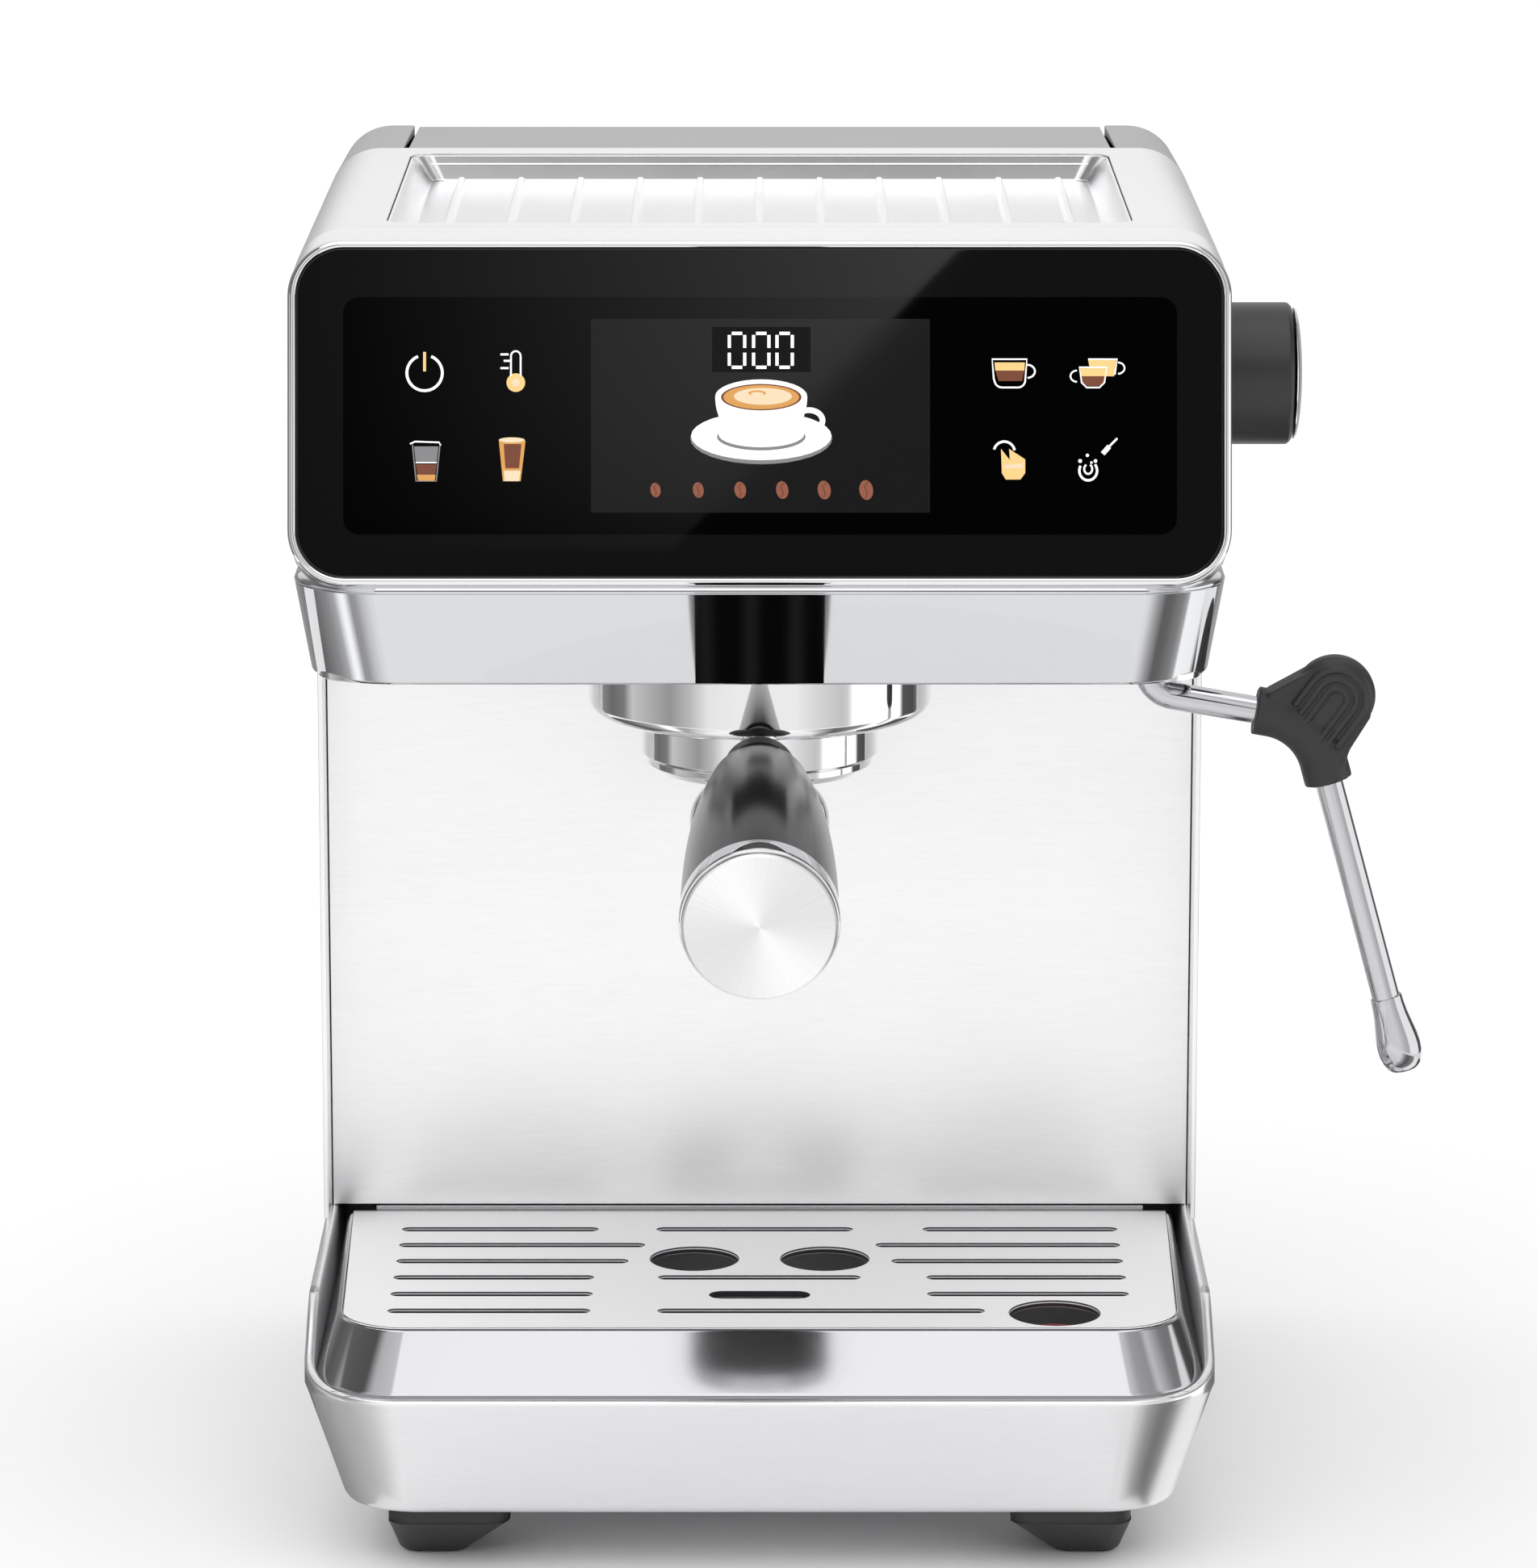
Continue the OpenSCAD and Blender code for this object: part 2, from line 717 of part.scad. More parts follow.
module screen_screw() {
    color(chrome) place() on_group(hub_z - 4.2) {
        translate([0, 0, -1.6]) difference() {
            cylinder(r = 4, h = 1.6, $fn = 32);
            translate([-4, -0.5, -1]) cube([8, 1, 1.7]);
        }
        cylinder(r = 1.9, h = 6, $fn = 24);
    }
}

// ---------- portafilter ----------

module portafilter_bowl() {
    color(chrome) place() on_group() difference() {
        union() {
            rotate_extrude($fn = 96) polygon([[0, bowl_z], [bowl_d / 2 - 4, bowl_z], [bowl_d / 2 - 1.5,
                bowl_z + 2],
                [bowl_d / 2 - 1.5, bowl_z + 4], [bowl_d / 2, bowl_z + 5], [bowl_d / 2, bowl_top], [0,
                    bowl_top]]);
            for (side = [0, 180]) rotate(side) intersection() {
                translate([0, 0, ledge_z + gap]) cylinder(d = lug_d, h = lug_h, $fn = 96);
                translate([0, 0, ledge_z]) rotate(-lug_angle / 2) sector(60, lug_angle, 20);
            }
            translate([0, -group_y, 0]) on_handle() translate([0, -3, -neck_run]) cylinder(r = 6,
                h = neck_run);
        }
        translate([0, 0, bowl_z + 3]) cylinder(r = bowl_in, h = 99, $fn = 96);
        translate([0, 0, bowl_z - 9]) cylinder(r = 4, h = 30, $fn = 32);
        translate([0, 0, bowl_top - 6]) rotate_extrude($fn = 64) translate([bowl_in,
            -0.9]) square([1.3, 1.8]);
    }
}

module filter_basket() {
    color(steel) place() on_group(bowl_top) difference() {
        union() {
            cylinder(r = bowl_d / 2 - 0.5, h = basket_rim, $fn = 96);
            translate([0, 0, -basket_depth]) cylinder(r = basket_d / 2 + 0.8, h = basket_depth + eps,
                $fn = 96);
        }
        translate([0, 0, 0.8 - basket_depth]) cylinder(d = basket_d, h = basket_depth + 9, $fn = 96);
        for (ring = [1:3], i = [0:ring * 6 - 1]) rotate(i * 60 / ring) translate([ring * sieve_pitch,
            0, -basket_depth - 1])
            cylinder(r = 0.8, h = 9, $fn = 16);
    }
}

// Wire ring that grips the basket
module basket_spring() {
    color(chrome) place() on_group(bowl_top - 6) rotate(20) rotate_extrude(angle = 320, $fn = 64)
        translate([bowl_in + 0.1, 0]) circle(r = 0.6, $fn = 16);
}

spout_x = 14;
spout_d = 13;
spout_low = bowl_z - 30;
module twin_spout() {
    color(chrome) place() on_group() difference() {
        union() {
            translate([0, 0, bowl_z - 10]) cylinder(r = 9, h = 10);
            translate([0, 0, bowl_z + 0.5 - 1]) cylinder(r = 3.9, h = 4, $fn = 32);
            for (side = [0, 180]) rotate([0, 0, side]) translate([0, 0, bowl_z - 9]) rotate([0, 90, 0])
                bent_tube(spout_d, [[spout_x - 7.5, 7.5, 90, 0], [30 - 16.5, 0, 0, 0]]);
        }
        translate([0, 0, bowl_z - 11]) cylinder(r = 2.5, h = 30, $fn = 24);
        for (x = [-spout_x, spout_x]) translate([x, 0, spout_low - 1]) cylinder(d = spout_d - 4,
            h = 12, $fn = 32);
    }
}

module handle_ferrule() {
    color(black) place() on_handle() rotate_extrude() polygon([[0, 0], [grip_d1 / 2 - 2.5, 0],
        [grip_d1 / 2 - 0.6, 1.5],
        [grip_d1 / 2 - 0.6, ferrule_len], [0, ferrule_len]]);
}

// The grip swells fast behind the ferrule and runs out straight at the ring
function grip_r(t) = grip_d2 / 2 - (grip_d2 - grip_d1) / 2 * pow(1 - t, 2.2);
module handle_grip() {
    color(black) place() on_handle() translate([0, 0, ferrule_len]) rotate_extrude()
        polygon(concat([[0, 0], [grip_d1 / 2 - 1, 0]], [for (i = [1:16]) [grip_r(i / 16),
            grip_len * i / 16]],
            [[0, grip_len]]));
}

module handle_ring() {
    color(chrome) place() on_handle() translate([0, 0, ferrule_len + grip_len]) rotate_extrude()
        polygon([[0, 0], [grip_d2 / 2 - 0.8, 0], [grip_d2 / 2 - 0.8, 1], [grip_d2 / 2 + 0.2, 1.6],
            [grip_d2 / 2 + 0.2, ring_len - 0.6], [grip_d2 / 2 - 0.4, ring_len], [0, ring_len]]);
}

module handle_end() {
    color(steel) place() on_handle() translate([0, 0, handle_len - end_len]) rotate_extrude()
        polygon([[0, 0], [grip_d2 / 2 - 0.6, 0], [grip_d2 / 2 - 0.6, end_len - 0.8],
            [grip_d2 / 2 - 1.4, end_len],
            [0, end_len]]);
}

// ---------- heater, valves, pump ----------

module thermoblock() {
    color([0.7, 0.71, 0.72]) place() {
        difference() {
            union() {
                box([block_x0, block_y0, block_z], [block_x1, block_y0 + block_l, block_z + block_h]);
                for (x = [block_x0 + 8:12:block_x1 - 8]) box([x, block_y0 + 4, block_z + block_h - eps],
                    [x + 3, block_y0 + block_l - 4, block_z + block_h + 5]);
            }
            translate([0, block_y, block_z + block_h / 2]) rod_x(block_x0 - 1, block_x1 - 26, 5);
        }
        for (x = [block_x0 + 10, block_x1 - 10], y = [block_y0 + 10, block_y0 + block_l - 10])
            translate([x, y, deck_top]) cylinder(r = 4, h = 6 + eps, $fn = 32);
    }
}

module thermostats() {
    color(black) place() for (y = [block_y - 19, block_y + 19])
        translate([block_x1, y, block_z + block_h / 2]) rod_x(0, 6, 8);
}

valve_mid = valve_x + 12;
module steam_valve() {
    color(brass) place() difference() {
        union() {
            translate([0, knob_y, knob_z]) rod_x(valve_x, inner - 1.2, 12);
            box([valve_mid - 8, knob_y - 8, deck_top], [valve_mid + 8, knob_y + 8, knob_z]);
            along_y(wand_y - 5, knob_y) translate([wand_x, knob_z]) circle(r = 6, $fn = 32);
        }
        translate([0, knob_y, knob_z]) rod_x(valve_x + 6, half + 9, stem_r + fit);
    }
}

module solenoid_valve() {
    color([0.25, 0.27, 0.3]) place() translate([solenoid_x, solenoid_y, deck_top]) {
        translate([-17, -14, 0]) cube([34, 28, 12]);
        translate([0, 0, 12]) cylinder(r = 7, h = 34, $fn = 32);
        translate([-13, -13, 16]) cube([26, 26, 24]);
    }
}

module pump() {
    color([0.2, 0.2, 0.22]) place() translate([0, pump_y, pump_z]) {
        rod_x(-30, 24, pump_r);
        translate([-22, -pump_r - 2, -pump_r - 2]) cube([36, 2 * pump_r + 4, 2 * pump_r + 4]);
        rod_x(-60, -30 + eps, 11);
        rod_x(24 - eps, 52, 14);
        rod_x(-66, -60 + eps, 4);
        rod_x(52 - eps, 58, 4);
    }
}

module pump_mounts() {
    color(rubber) place() for (x = [-46, 40]) translate([x, pump_y, floor_z]) difference() {
        translate([-5, -16, 0]) cube([10, 32, 48]);
        translate([0, 0, pump_z - floor_z]) rod_x(-9, 9, x < 0 ? 11.1 : 14.1);
    }
}

module tank_shelf() {
    color(black) place() difference() {
        union() {
            box([-inner + 0.5, bulkhead_y + bulkhead_t, tank_seat], [inner - 0.5, body_rear - 0.5,
                tank_low - gap]);
            translate([0, pump_y, tank_seat - 12]) cylinder(r = valve_r + 4, h = 12 + eps);
        }
        translate([0, pump_y, tank_seat - 10]) cylinder(r = valve_r + 0.6, h = 30);
        translate([0, pump_y, tank_seat - 30]) cylinder(r = 3, h = 30, $fn = 24);
    }
}

module flow_meter() {
    color(grey) place() translate([0, pump_y, tank_seat - 12 - 16]) difference() {
        union() {
            cylinder(r = 15, h = 16);
            translate([0, 0, 7]) rod_x(-26, 0, 3.4);
        }
        translate([0, 0, 6]) cylinder(r = 3, h = 30, $fn = 24);
    }
}

meter_z = tank_seat - 21;
pump_in = 66;
pump_out = 58;
module suction_hose() {
    color([0.8, 0.8, 0.78]) place() translate([-26, pump_y, meter_z]) rotate([0, -90, 0])
        bent_tube(7, [[pump_in - 26, 12, 90, 180], [meter_z - pump_z - 24, 12, 90, 0]]);
}

// From the pump through the bulkhead and the deck to the heater block
module pressure_hose() {
    color([0.85, 0.85, 0.83]) place() translate([pump_out, pump_y, pump_z]) rotate([0, 90, 0])
        bent_tube(6, [[pressure_x - 12 - pump_out, 12, 90, -90], [pump_y - block_y - 26, 14, 90, -90],
            [block_z + block_h / 2 - pump_z - 28, 14, 90, 90], [pressure_x - 14 - block_x1, 0, 0, 0]]);
}

module brew_tube() {
    color(chrome) place() translate([0, block_y0, deck_top + 18]) rotate([90, 0, 0])
        bent_tube(5, [[block_y0 - group_y - 8, 8, 90, -90]]);
}

module steam_tube() {
    tube_low = ball_z + ball_r + gap;
    color(chrome) place() {
        translate([block_x1, block_y, block_z + 26]) rotate([0, 90, 0])
            bent_tube(5, [[valve_mid - 8 - block_x1, 8, 90, -90], [block_y - knob_y - 16, 0, 0, 0]]);
        translate([wand_x, wand_y, tube_low]) cylinder(d = 6, h = knob_z - 5.9 - tube_low, $fn = 32);
    }
}

// The board stands on four pegs, with two relays, a transformer and three capacitors
module control_board() {
    back = eps - board_off;
    color(board) place() translate([board_x, bulkhead_y, board_z]) {
        box([0, -board_off, 0], [board_w, board_t - board_off, board_h]);
        for (x = [6, board_w - 6], z = [6, board_h - 6])
            along_y(board_t - board_off - eps, 0) translate([x, z]) circle(r = 3, $fn = 24);
        box([10, -board_off - 28, 14], [48, back, 50]);
        for (z = [12, 40]) box([60, -board_off - 16, z], [80, back, z + 18]);
        for (i = [0:2]) along_y(-board_off - 22, back) translate([100, 20 + i * 24]) circle(r = 7,
            $fn = 32);
    }
}

// ---------- steam wand and knob ----------

// Centre line of the wand's tube as [x, z, heading], heading measured from straight down
wand_start = [[wand_x, ball_z - neck_len, 0]];
wand_bend = [for (i = [1:8]) let (a = arm_bend * i / 8)
    [wand_x + arm_bend_r * (1 - cos(a)), ball_z - neck_len - arm_bend_r * sin(a), a]];
function elbow_arc(n) = [for (i = [0:n]) let (a = arm_bend - elbow_bend * i / n)
    [arm_x + elbow_r * (cos(a) - cos(arm_bend)), arm_z - elbow_r * (sin(arm_bend) - sin(a)), a]];
function past_elbow(l) = [elbow_x + l * sin(lean_out), elbow_z - l * cos(lean_out), lean_out];
function before_elbow(l) = [arm_x - l * sin(arm_bend), arm_z + l * cos(arm_bend), arm_bend];
wand_path = concat(wand_start, wand_bend, elbow_arc(10), [past_elbow(elbow_tail + wand_len)]);
sleeve_path = concat([before_elbow(4.3)], elbow_arc(10), [past_elbow(elbow_tail)]);

// Round tube swept along a centre line that lies in one upright plane
module sweep(path, d, sides = 24) {
    n = len(path);
    points = [for (p = path, k = [0:sides - 1]) let (f = k * 360 / sides)
        [p[0] + d / 2 * cos(f) * cos(p[2]), d / 2 * sin(f), p[1] + d / 2 * cos(f) * sin(p[2])]];
    walls = [for (i = [0:n - 2], k = [0:sides - 1]) let (j = (k + 1) % sides)
        [i * sides + k, i * sides + j, (i + 1) * sides + j, (i + 1) * sides + k]];
    polyhedron(points, concat([[for (k = [sides - 1:-1:0]) k]], walls,
        [[for (k = [0:sides - 1]) (n - 1) * sides + k]]));
}

module wand_socket() {
    color(chrome) place() translate([wand_x, wand_y, head_bottom + plate_t]) difference() {
        cylinder(r = cup_r + 4, h = 7);
        translate([0, 0, -1]) cylinder(r = cup_r + fit, h = 20);
    }
}

module wand_swivel() {
    color(chrome) place() translate([wand_x, wand_y, ball_z]) difference() {
        translate([0, 0, -4.6]) cylinder(r = cup_r, h = 10.6);
        sphere(r = ball_r + fit);
        cylinder(r = ball_r - 2, h = 9);
        translate([0, 0, -4.7]) cylinder(r1 = 4.6, r2 = 2.9, h = 4.7);
    }
}

module wand_ball() {
    color(chrome) place() translate([wand_x, wand_y, ball_z]) {
        sphere(r = ball_r);
        translate([0, 0, -neck_len]) cylinder(d = neck_d, h = neck_len);
    }
}

module wand_tube() {
    color(chrome) place() translate([0, wand_y, 0]) sweep(wand_path, tube_d);
}

// Rubber sleeve round the elbow, with a thumb tab on its outer side
module wand_grip() {
    lobe_x = elbow_x + 2.9;
    lobe_z = elbow_z + 19.5;
    color(rubber) place() translate([0, wand_y, 0]) difference() {
        union() {
            sweep(sleeve_path, sleeve_d);
            translate([lobe_x, 0, lobe_z]) rotate([90, 0, 0]) {
                rotate_extrude($fn = 48) polygon([[0, -6], [9, -6], [11, -4.5], [11.8, -1.5], [11.8,
                    1.5], [11, 4.5],
                    [9, 6], [0, 6]]);
                for (side = [-6, 6], r = [3, 5.6, 8.2]) translate([0, 0, side - 0.6]) difference() {
                    cylinder(r = r + 0.6, h = 1.2, $fn = 48);
                    translate([0, 0, -1]) cylinder(r = r - 0.6, h = 9, $fn = 48);
                    translate([-20, -20, -1]) cube([40, 20 - r * 0.2, 9]);
                }
            }
            along_y(-5, 5) polygon([[lobe_x - 11, lobe_z + 4], [arm_x + 2, arm_z + 2], [arm_x + 6,
                arm_z - 4],
                [elbow_x - 1, elbow_z + 4], [elbow_x + 3, elbow_z], [lobe_x + 10.4, lobe_z - 5.5]]);
        }
        sweep(wand_path, tube_d + 0.2);
    }
}

module at_tip() {
    translate([elbow_x + (elbow_tail + wand_len) * sin(lean_out), wand_y,
        elbow_z - (elbow_tail + wand_len) * cos(lean_out)]) rotate([0, 180 - lean_out, 0]) children();
}

module wand_tip() {
    color(chrome) place() at_tip() difference() {
        rotate_extrude() polygon([[0, 0], [tube_d / 2 + 0.4, 0], [tube_d / 2 + 0.6, 2], [5.4, 8], [6.2,
            12], [tip_r, 15.5],
            [6.1, 18.5], [5.2, 21], [3.6, tip_len], [0, tip_len]]);
        translate([0, 0, tip_len - 6]) cylinder(r = 1, h = 9, $fn = 16);
    }
}

module valve_stem() {
    color(brass) place() translate([0, knob_y, knob_z]) rod_x(valve_x + 6.3, half + 8, stem_r);
}

module steam_knob() {
    color(black) place() translate([half + 0.5, knob_y, knob_z]) rotate([0, 90, 0]) difference() {
        rotate_extrude($fn = 96) polygon([[0, 0], [knob_d / 2 - 0.8, 0], [knob_d / 2, 0.8],
            [knob_d / 2, knob_len - 1.2],
            [knob_d / 2 - 1.2, knob_len], [0, knob_len]]);
        translate([0, 0, -1]) cylinder(r = stem_r, h = 1 + 7.5);
    }
}

module knob_cap() {
    color(chrome) place() translate([half + 0.5 + knob_len, knob_y, knob_z]) rotate([0, 90,
        0]) rotate_extrude($fn = 96)
        polygon(concat([[0, 0]], [for (i = [0:8]) [(knob_d / 2 - 1.4) * cos(i * 90 / 8),
            0.6 + (dome_h - 0.6) * sin(i * 90 / 8)]]));
}

// ---------- drip tray ----------

module tray_outline(inset, lift) {
    t = lift / (grid_z - rim_z);
    polygon_half_front = (tray_half - inset) * (1 - t) + (grid_half_front + 1.5 - inset) * t;
    polygon_half_rear = (tray_half - inset) * (1 - t) + (grid_half_rear + 1.5 - inset) * t;
    tapered_plan(polygon_half_front, polygon_half_rear, tray_front + inset + tray_slope * t,
        tray_rear - inset, tray_r - inset - 3 * t);
}

module tray_rim() {
    color(chrome) place() difference() {
        hull() {
            translate([0, 0, rim_z + 0.6]) linear_extrude(0.2) tray_outline(0, 0);
            translate([0, 0, grid_z - 0.2]) linear_extrude(0.2) tray_outline(0, grid_z - rim_z);
        }
        hull() {
            translate([0, 0, rim_z + 0.5]) linear_extrude(0.2) tray_outline(2, 0);
            translate([0, 0, grid_z - grid_t - 1.5]) linear_extrude(0.2) tray_outline(4.5, grid_z - rim_z);
        }
        translate([0, 0, rim_z]) linear_extrude(99)
            tapered_plan(grid_half_front - 3, grid_half_rear - 3, grid_front + 3, grid_rear - 3,
                grid_r - 3);
        translate([0, 0, grid_z - grid_t]) linear_extrude(9)
            tapered_plan(grid_half_front + 0.3, grid_half_rear + 0.3, grid_front - 0.3, tray_rear + 9,
                grid_r);
    }
}

module drip_tray() {
    color(black) place() {
        difference() {
            slab(2 * tub_half, tub_front, tray_rear - 3, tub_r, tub_z, rim_z + 6 - tub_z);
            slab(2 * tub_half - 4, tub_front + 2, tray_rear - 5, tub_r - 2, tub_z + 2, 99);
        }
        translate([0, 0, rim_z - 1]) linear_extrude(1.6) difference() {
            tapered_plan(tray_half - 0.3, tray_half - 0.3, tray_front + 0.3, tray_rear, tray_r);
            translate([0, (tub_front + tray_rear - 3) / 2]) rounded_rect(2 * tub_half - 2,
                tray_rear - 3 - tub_front - 2, tub_r - 1);
        }
        for (x = [-60, 0, 60]) box([x - 1, tub_front + 30, tub_z + 2 - eps], [x + 1, tray_rear - 20,
            tub_z + 14]);
        translate([float_x, float_y, tub_z + 2 - eps]) cylinder(r = 2, h = 22, $fn = 32);
    }
}

// Slots as [left, right] ends for each row, front row first
rows = [
    [[-slot_end, -49.5], [-29.7, 65.6]],
    [[-slot_end, -49.2], [49.4, slot_end]],
    [[-slot_end, -49.2], [-30, 29.8], [49.6, slot_end]],
    [[-slot_end, -39.3], [39.5, slot_end]],
    [[-slot_end, -34.6], [35, slot_end]],
    [[-slot_end, -49], [-31.2, 28.2], [49.6, slot_end]]];

module drip_grid() {
    row0 = grid_front + 19;
    color(steel) place() translate([0, 0, grid_z - grid_t]) linear_extrude(grid_t) difference() {
        tapered_plan(grid_half_front, grid_half_rear, grid_front, grid_rear, grid_r);
        for (i = [0:len(rows) - 1], s = rows[i]) slot2d(s[0], s[1], row0 + i * slot_pitch, slot_w);
        translate([float_x, float_y]) circle(d = hole_d);
        for (x = [-1, 1]) translate([x * 19.5, row0 + 3.15 * slot_pitch]) circle(d = hole_d);
        slot2d(-14.8, 14.8, row0 + 0.95 * slot_pitch, 8);
    }
}

module tray_float() {
    color([0.75, 0.12, 0.1]) place() translate([float_x, float_y, tub_z + 2 + gap]) difference() {
        union() {
            cylinder(r = 10.5, h = grid_z - tub_z - 10);
            translate([0, 0, grid_z - tub_z - 10 - eps]) cylinder(r1 = 10.5, r2 = 8.5, h = 2);
        }
        translate([0, 0, -1]) cylinder(r = 2.3, h = 26, $fn = 32);
    }
}

// ---------- water tank ----------

module water_tank() {
    color([0.6, 0.65, 0.7, 0.6]) place() difference() {
        union() {
            slab(2 * tank_half, tank_front, tank_rear, 8, tank_low, tank_top - tank_low);
            for (side = [0, 1]) mirror([side, 0, 0]) {
                box([ear_x, pin_y - ear_r + 0.2, tank_top - 8], [ear_x + ear_t, pin_y + ear_r - 0.2,
                    pin_z]);
                translate([0, pin_y, pin_z]) rod_x(ear_x, ear_x + ear_t, ear_r);
                translate([0, pin_y, pin_z]) rod_x(ear_x, ear_x + ear_t + lug_w, pin_r);
            }
        }
        slab(2 * (tank_half - tank_wall), tank_front + tank_wall, tank_rear - tank_wall - 2, 6,
            tank_low + tank_wall, 999);
        translate([0, pump_y, tank_low - 1]) cylinder(r = valve_r - 2, h = 9, $fn = 32);
    }
}

module tank_valve() {
    color(black) place() translate([0, pump_y, 0]) {
        difference() {
            translate([0, 0, tank_seat - 9]) cylinder(r = valve_r, h = tank_low - tank_seat + 9);
            translate([0, 0, tank_seat - 11]) cylinder(r = 3, h = 30, $fn = 24);
        }
    }
}

module tank_lid() {
    color(grey) place() {
        along_x(-lid_half, lid_half) polygon([[lid_front, lid_z], [body_rear - 0.5, lid_z],
            [body_rear - 0.5, body_h - cap_drop - 0.4], [lid_front, body_h - 0.2]]);
        difference() {
            slab(2 * tank_half - 8, tank_front + 0.5, pin_y - 7, 6, tank_top + gap,
                lid_z - tank_top - gap + eps);
            slab(2 * tank_half - 12, tank_front + 2.5, pin_y - 9, 4, tank_top, 20);
        }
        for (side = [0, 1]) mirror([side, 0, 0]) difference() {
            union() {
                translate([0, pin_y, pin_z]) rod_x(ear_x + ear_t + gap, ear_x + ear_t + lug_w, barrel_r);
                box([ear_x + ear_t + gap, pin_y - barrel_r, pin_z], [ear_x + ear_t + lug_w,
                    pin_y + barrel_r, lid_z + eps]);
            }
            translate([0, pin_y, pin_z]) rod_x(ear_x, ear_x + 20, pin_r + fit);
        }
    }
}

base_shell();
feet();
base_screws();
body_casing();
splash_panel();
rear_panel();
cord_gland();
chassis();
head_base();
chin_fascia();
front_frame();
bezel();
front_glass();
display_module();
touch_board();
cup_shelf();
rear_cap_left();
rear_cap_right();
group_casting();
bayonet_collar();
group_gasket();
shower_screen();
screen_screw();
thermoblock();
thermostats();
steam_valve();
solenoid_valve();
pump();
pump_mounts();
flow_meter();
control_board();
tank_shelf();
suction_hose();
pressure_hose();
brew_tube();
steam_tube();
wand_socket();
wand_swivel();
wand_ball();
wand_tube();
wand_grip();
wand_tip();
steam_knob();
knob_cap();
valve_stem();
drip_tray();
tray_rim();
drip_grid();
tray_float();
water_tank();
tank_valve();
tank_lid();
portafilter_bowl();
filter_basket();
basket_spring();
twin_spout();
handle_ferrule();
handle_grip();
handle_ring();
handle_end();
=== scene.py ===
"""Espresso machine: softened shells, finishes, panel graphics, light and camera."""

from __future__ import annotations

import json
import logging
import math
from collections.abc import Iterable, Sequence
from dataclasses import dataclass, field
from enum import Enum

import bmesh
import bpy
from bmesh import ops
from bmesh.types import BMEdge, BMesh, BMFace, BMVert
from bpy.types import Material, Node, NodeTree, Object
from mathutils import Matrix, Vector

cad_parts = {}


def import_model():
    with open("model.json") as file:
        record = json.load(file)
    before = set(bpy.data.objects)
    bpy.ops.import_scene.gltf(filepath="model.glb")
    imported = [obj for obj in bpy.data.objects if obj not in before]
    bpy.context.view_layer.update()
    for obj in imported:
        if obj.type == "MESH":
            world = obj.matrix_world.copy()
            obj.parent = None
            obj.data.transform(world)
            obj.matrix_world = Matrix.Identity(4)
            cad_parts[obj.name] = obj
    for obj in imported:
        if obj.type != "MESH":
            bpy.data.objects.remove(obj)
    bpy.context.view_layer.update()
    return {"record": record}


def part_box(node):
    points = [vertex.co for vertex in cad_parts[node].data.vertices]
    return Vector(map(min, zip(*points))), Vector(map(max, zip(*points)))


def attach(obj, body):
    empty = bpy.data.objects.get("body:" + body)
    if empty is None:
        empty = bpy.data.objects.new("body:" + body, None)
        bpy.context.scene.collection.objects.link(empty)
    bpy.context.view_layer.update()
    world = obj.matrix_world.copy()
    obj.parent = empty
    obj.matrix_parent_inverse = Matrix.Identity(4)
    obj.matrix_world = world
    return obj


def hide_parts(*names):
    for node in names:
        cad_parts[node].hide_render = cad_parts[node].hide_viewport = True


LOG = logging.getLogger("espresso")
MM = 0.001
# Radius of a turned profile's ends, joined on the axis
AXIS = 0.01
ALONG = ("Along X", "Along Y", "Along Z")
ROUND_UV = "round"
GLOW = "glow"

Triple = tuple[float, float, float]
Point = tuple[float, float]
Socket = bpy.types.NodeSocket


# ---------------------------------------------------------------- frame

@dataclass(frozen=True)
class Layout:
    """Main sizes of the machine in millimetres, from the middle of its glass front."""

    shift: Vector
    half: float = 132.5
    panel_z: float = 343.0
    panel_lean: float = 12.0
    glass_h: float = 92.6
    bezel_w: float = 2.4
    glass_r: float = 13.5
    chin_top: float = 293.2
    chin_low: float = 265.0
    wand_x: float = 112.0
    wand_y: float = 50.0
    ball_z: float = 268.0
    handle_y: float = 13.0
    handle_z: float = 238.3
    handle_tilt: float = 9.0
    handle_len: float = 120.0

    def place(self) -> Matrix:
        """Matrix from machine millimetres to the model's metres."""
        return Matrix.Translation(self.shift) @ Matrix.Scale(MM, 4)

    def panel(self) -> Matrix:
        """Matrix of the glass: X across, Y up the glass, Z out of its face."""
        turn = Matrix.Rotation(math.radians(90 - self.panel_lean), 4, "X")
        return self.place() @ Matrix.Translation((0, 0, self.panel_z)) @ turn

    def handle(self) -> Matrix:
        """Matrix of the portafilter's handle: Z runs out along the grip."""
        turn = Matrix.Rotation(math.radians(90 + self.handle_tilt), 4, "X")
        return self.place() @ Matrix.Translation((0, self.handle_y, self.handle_z)) @ turn


def read_layout() -> Layout:
    """Read where the machine stands from the frame's own boxes.

    Returns:
        The layout, with the shift from machine to model coordinates.
    """
    low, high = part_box("front_glass")
    splash_low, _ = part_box("splash_panel")
    return Layout(shift=Vector(((low.x + high.x) / 2, splash_low.y - 140 * MM, 0)))


# ---------------------------------------------------------------- shader groups

class Group(Enum):
    """Names of the shader node groups that several finishes share."""

    GRAIN = "brushed grain"
    SMUDGE = "handling marks"
    WEAR = "rubbed edges"


def set_inputs(node: Node, values: dict[str, object]) -> None:
    """Set a node's unlinked inputs by name."""
    for name, value in values.items():
        node.inputs[name].default_value = value


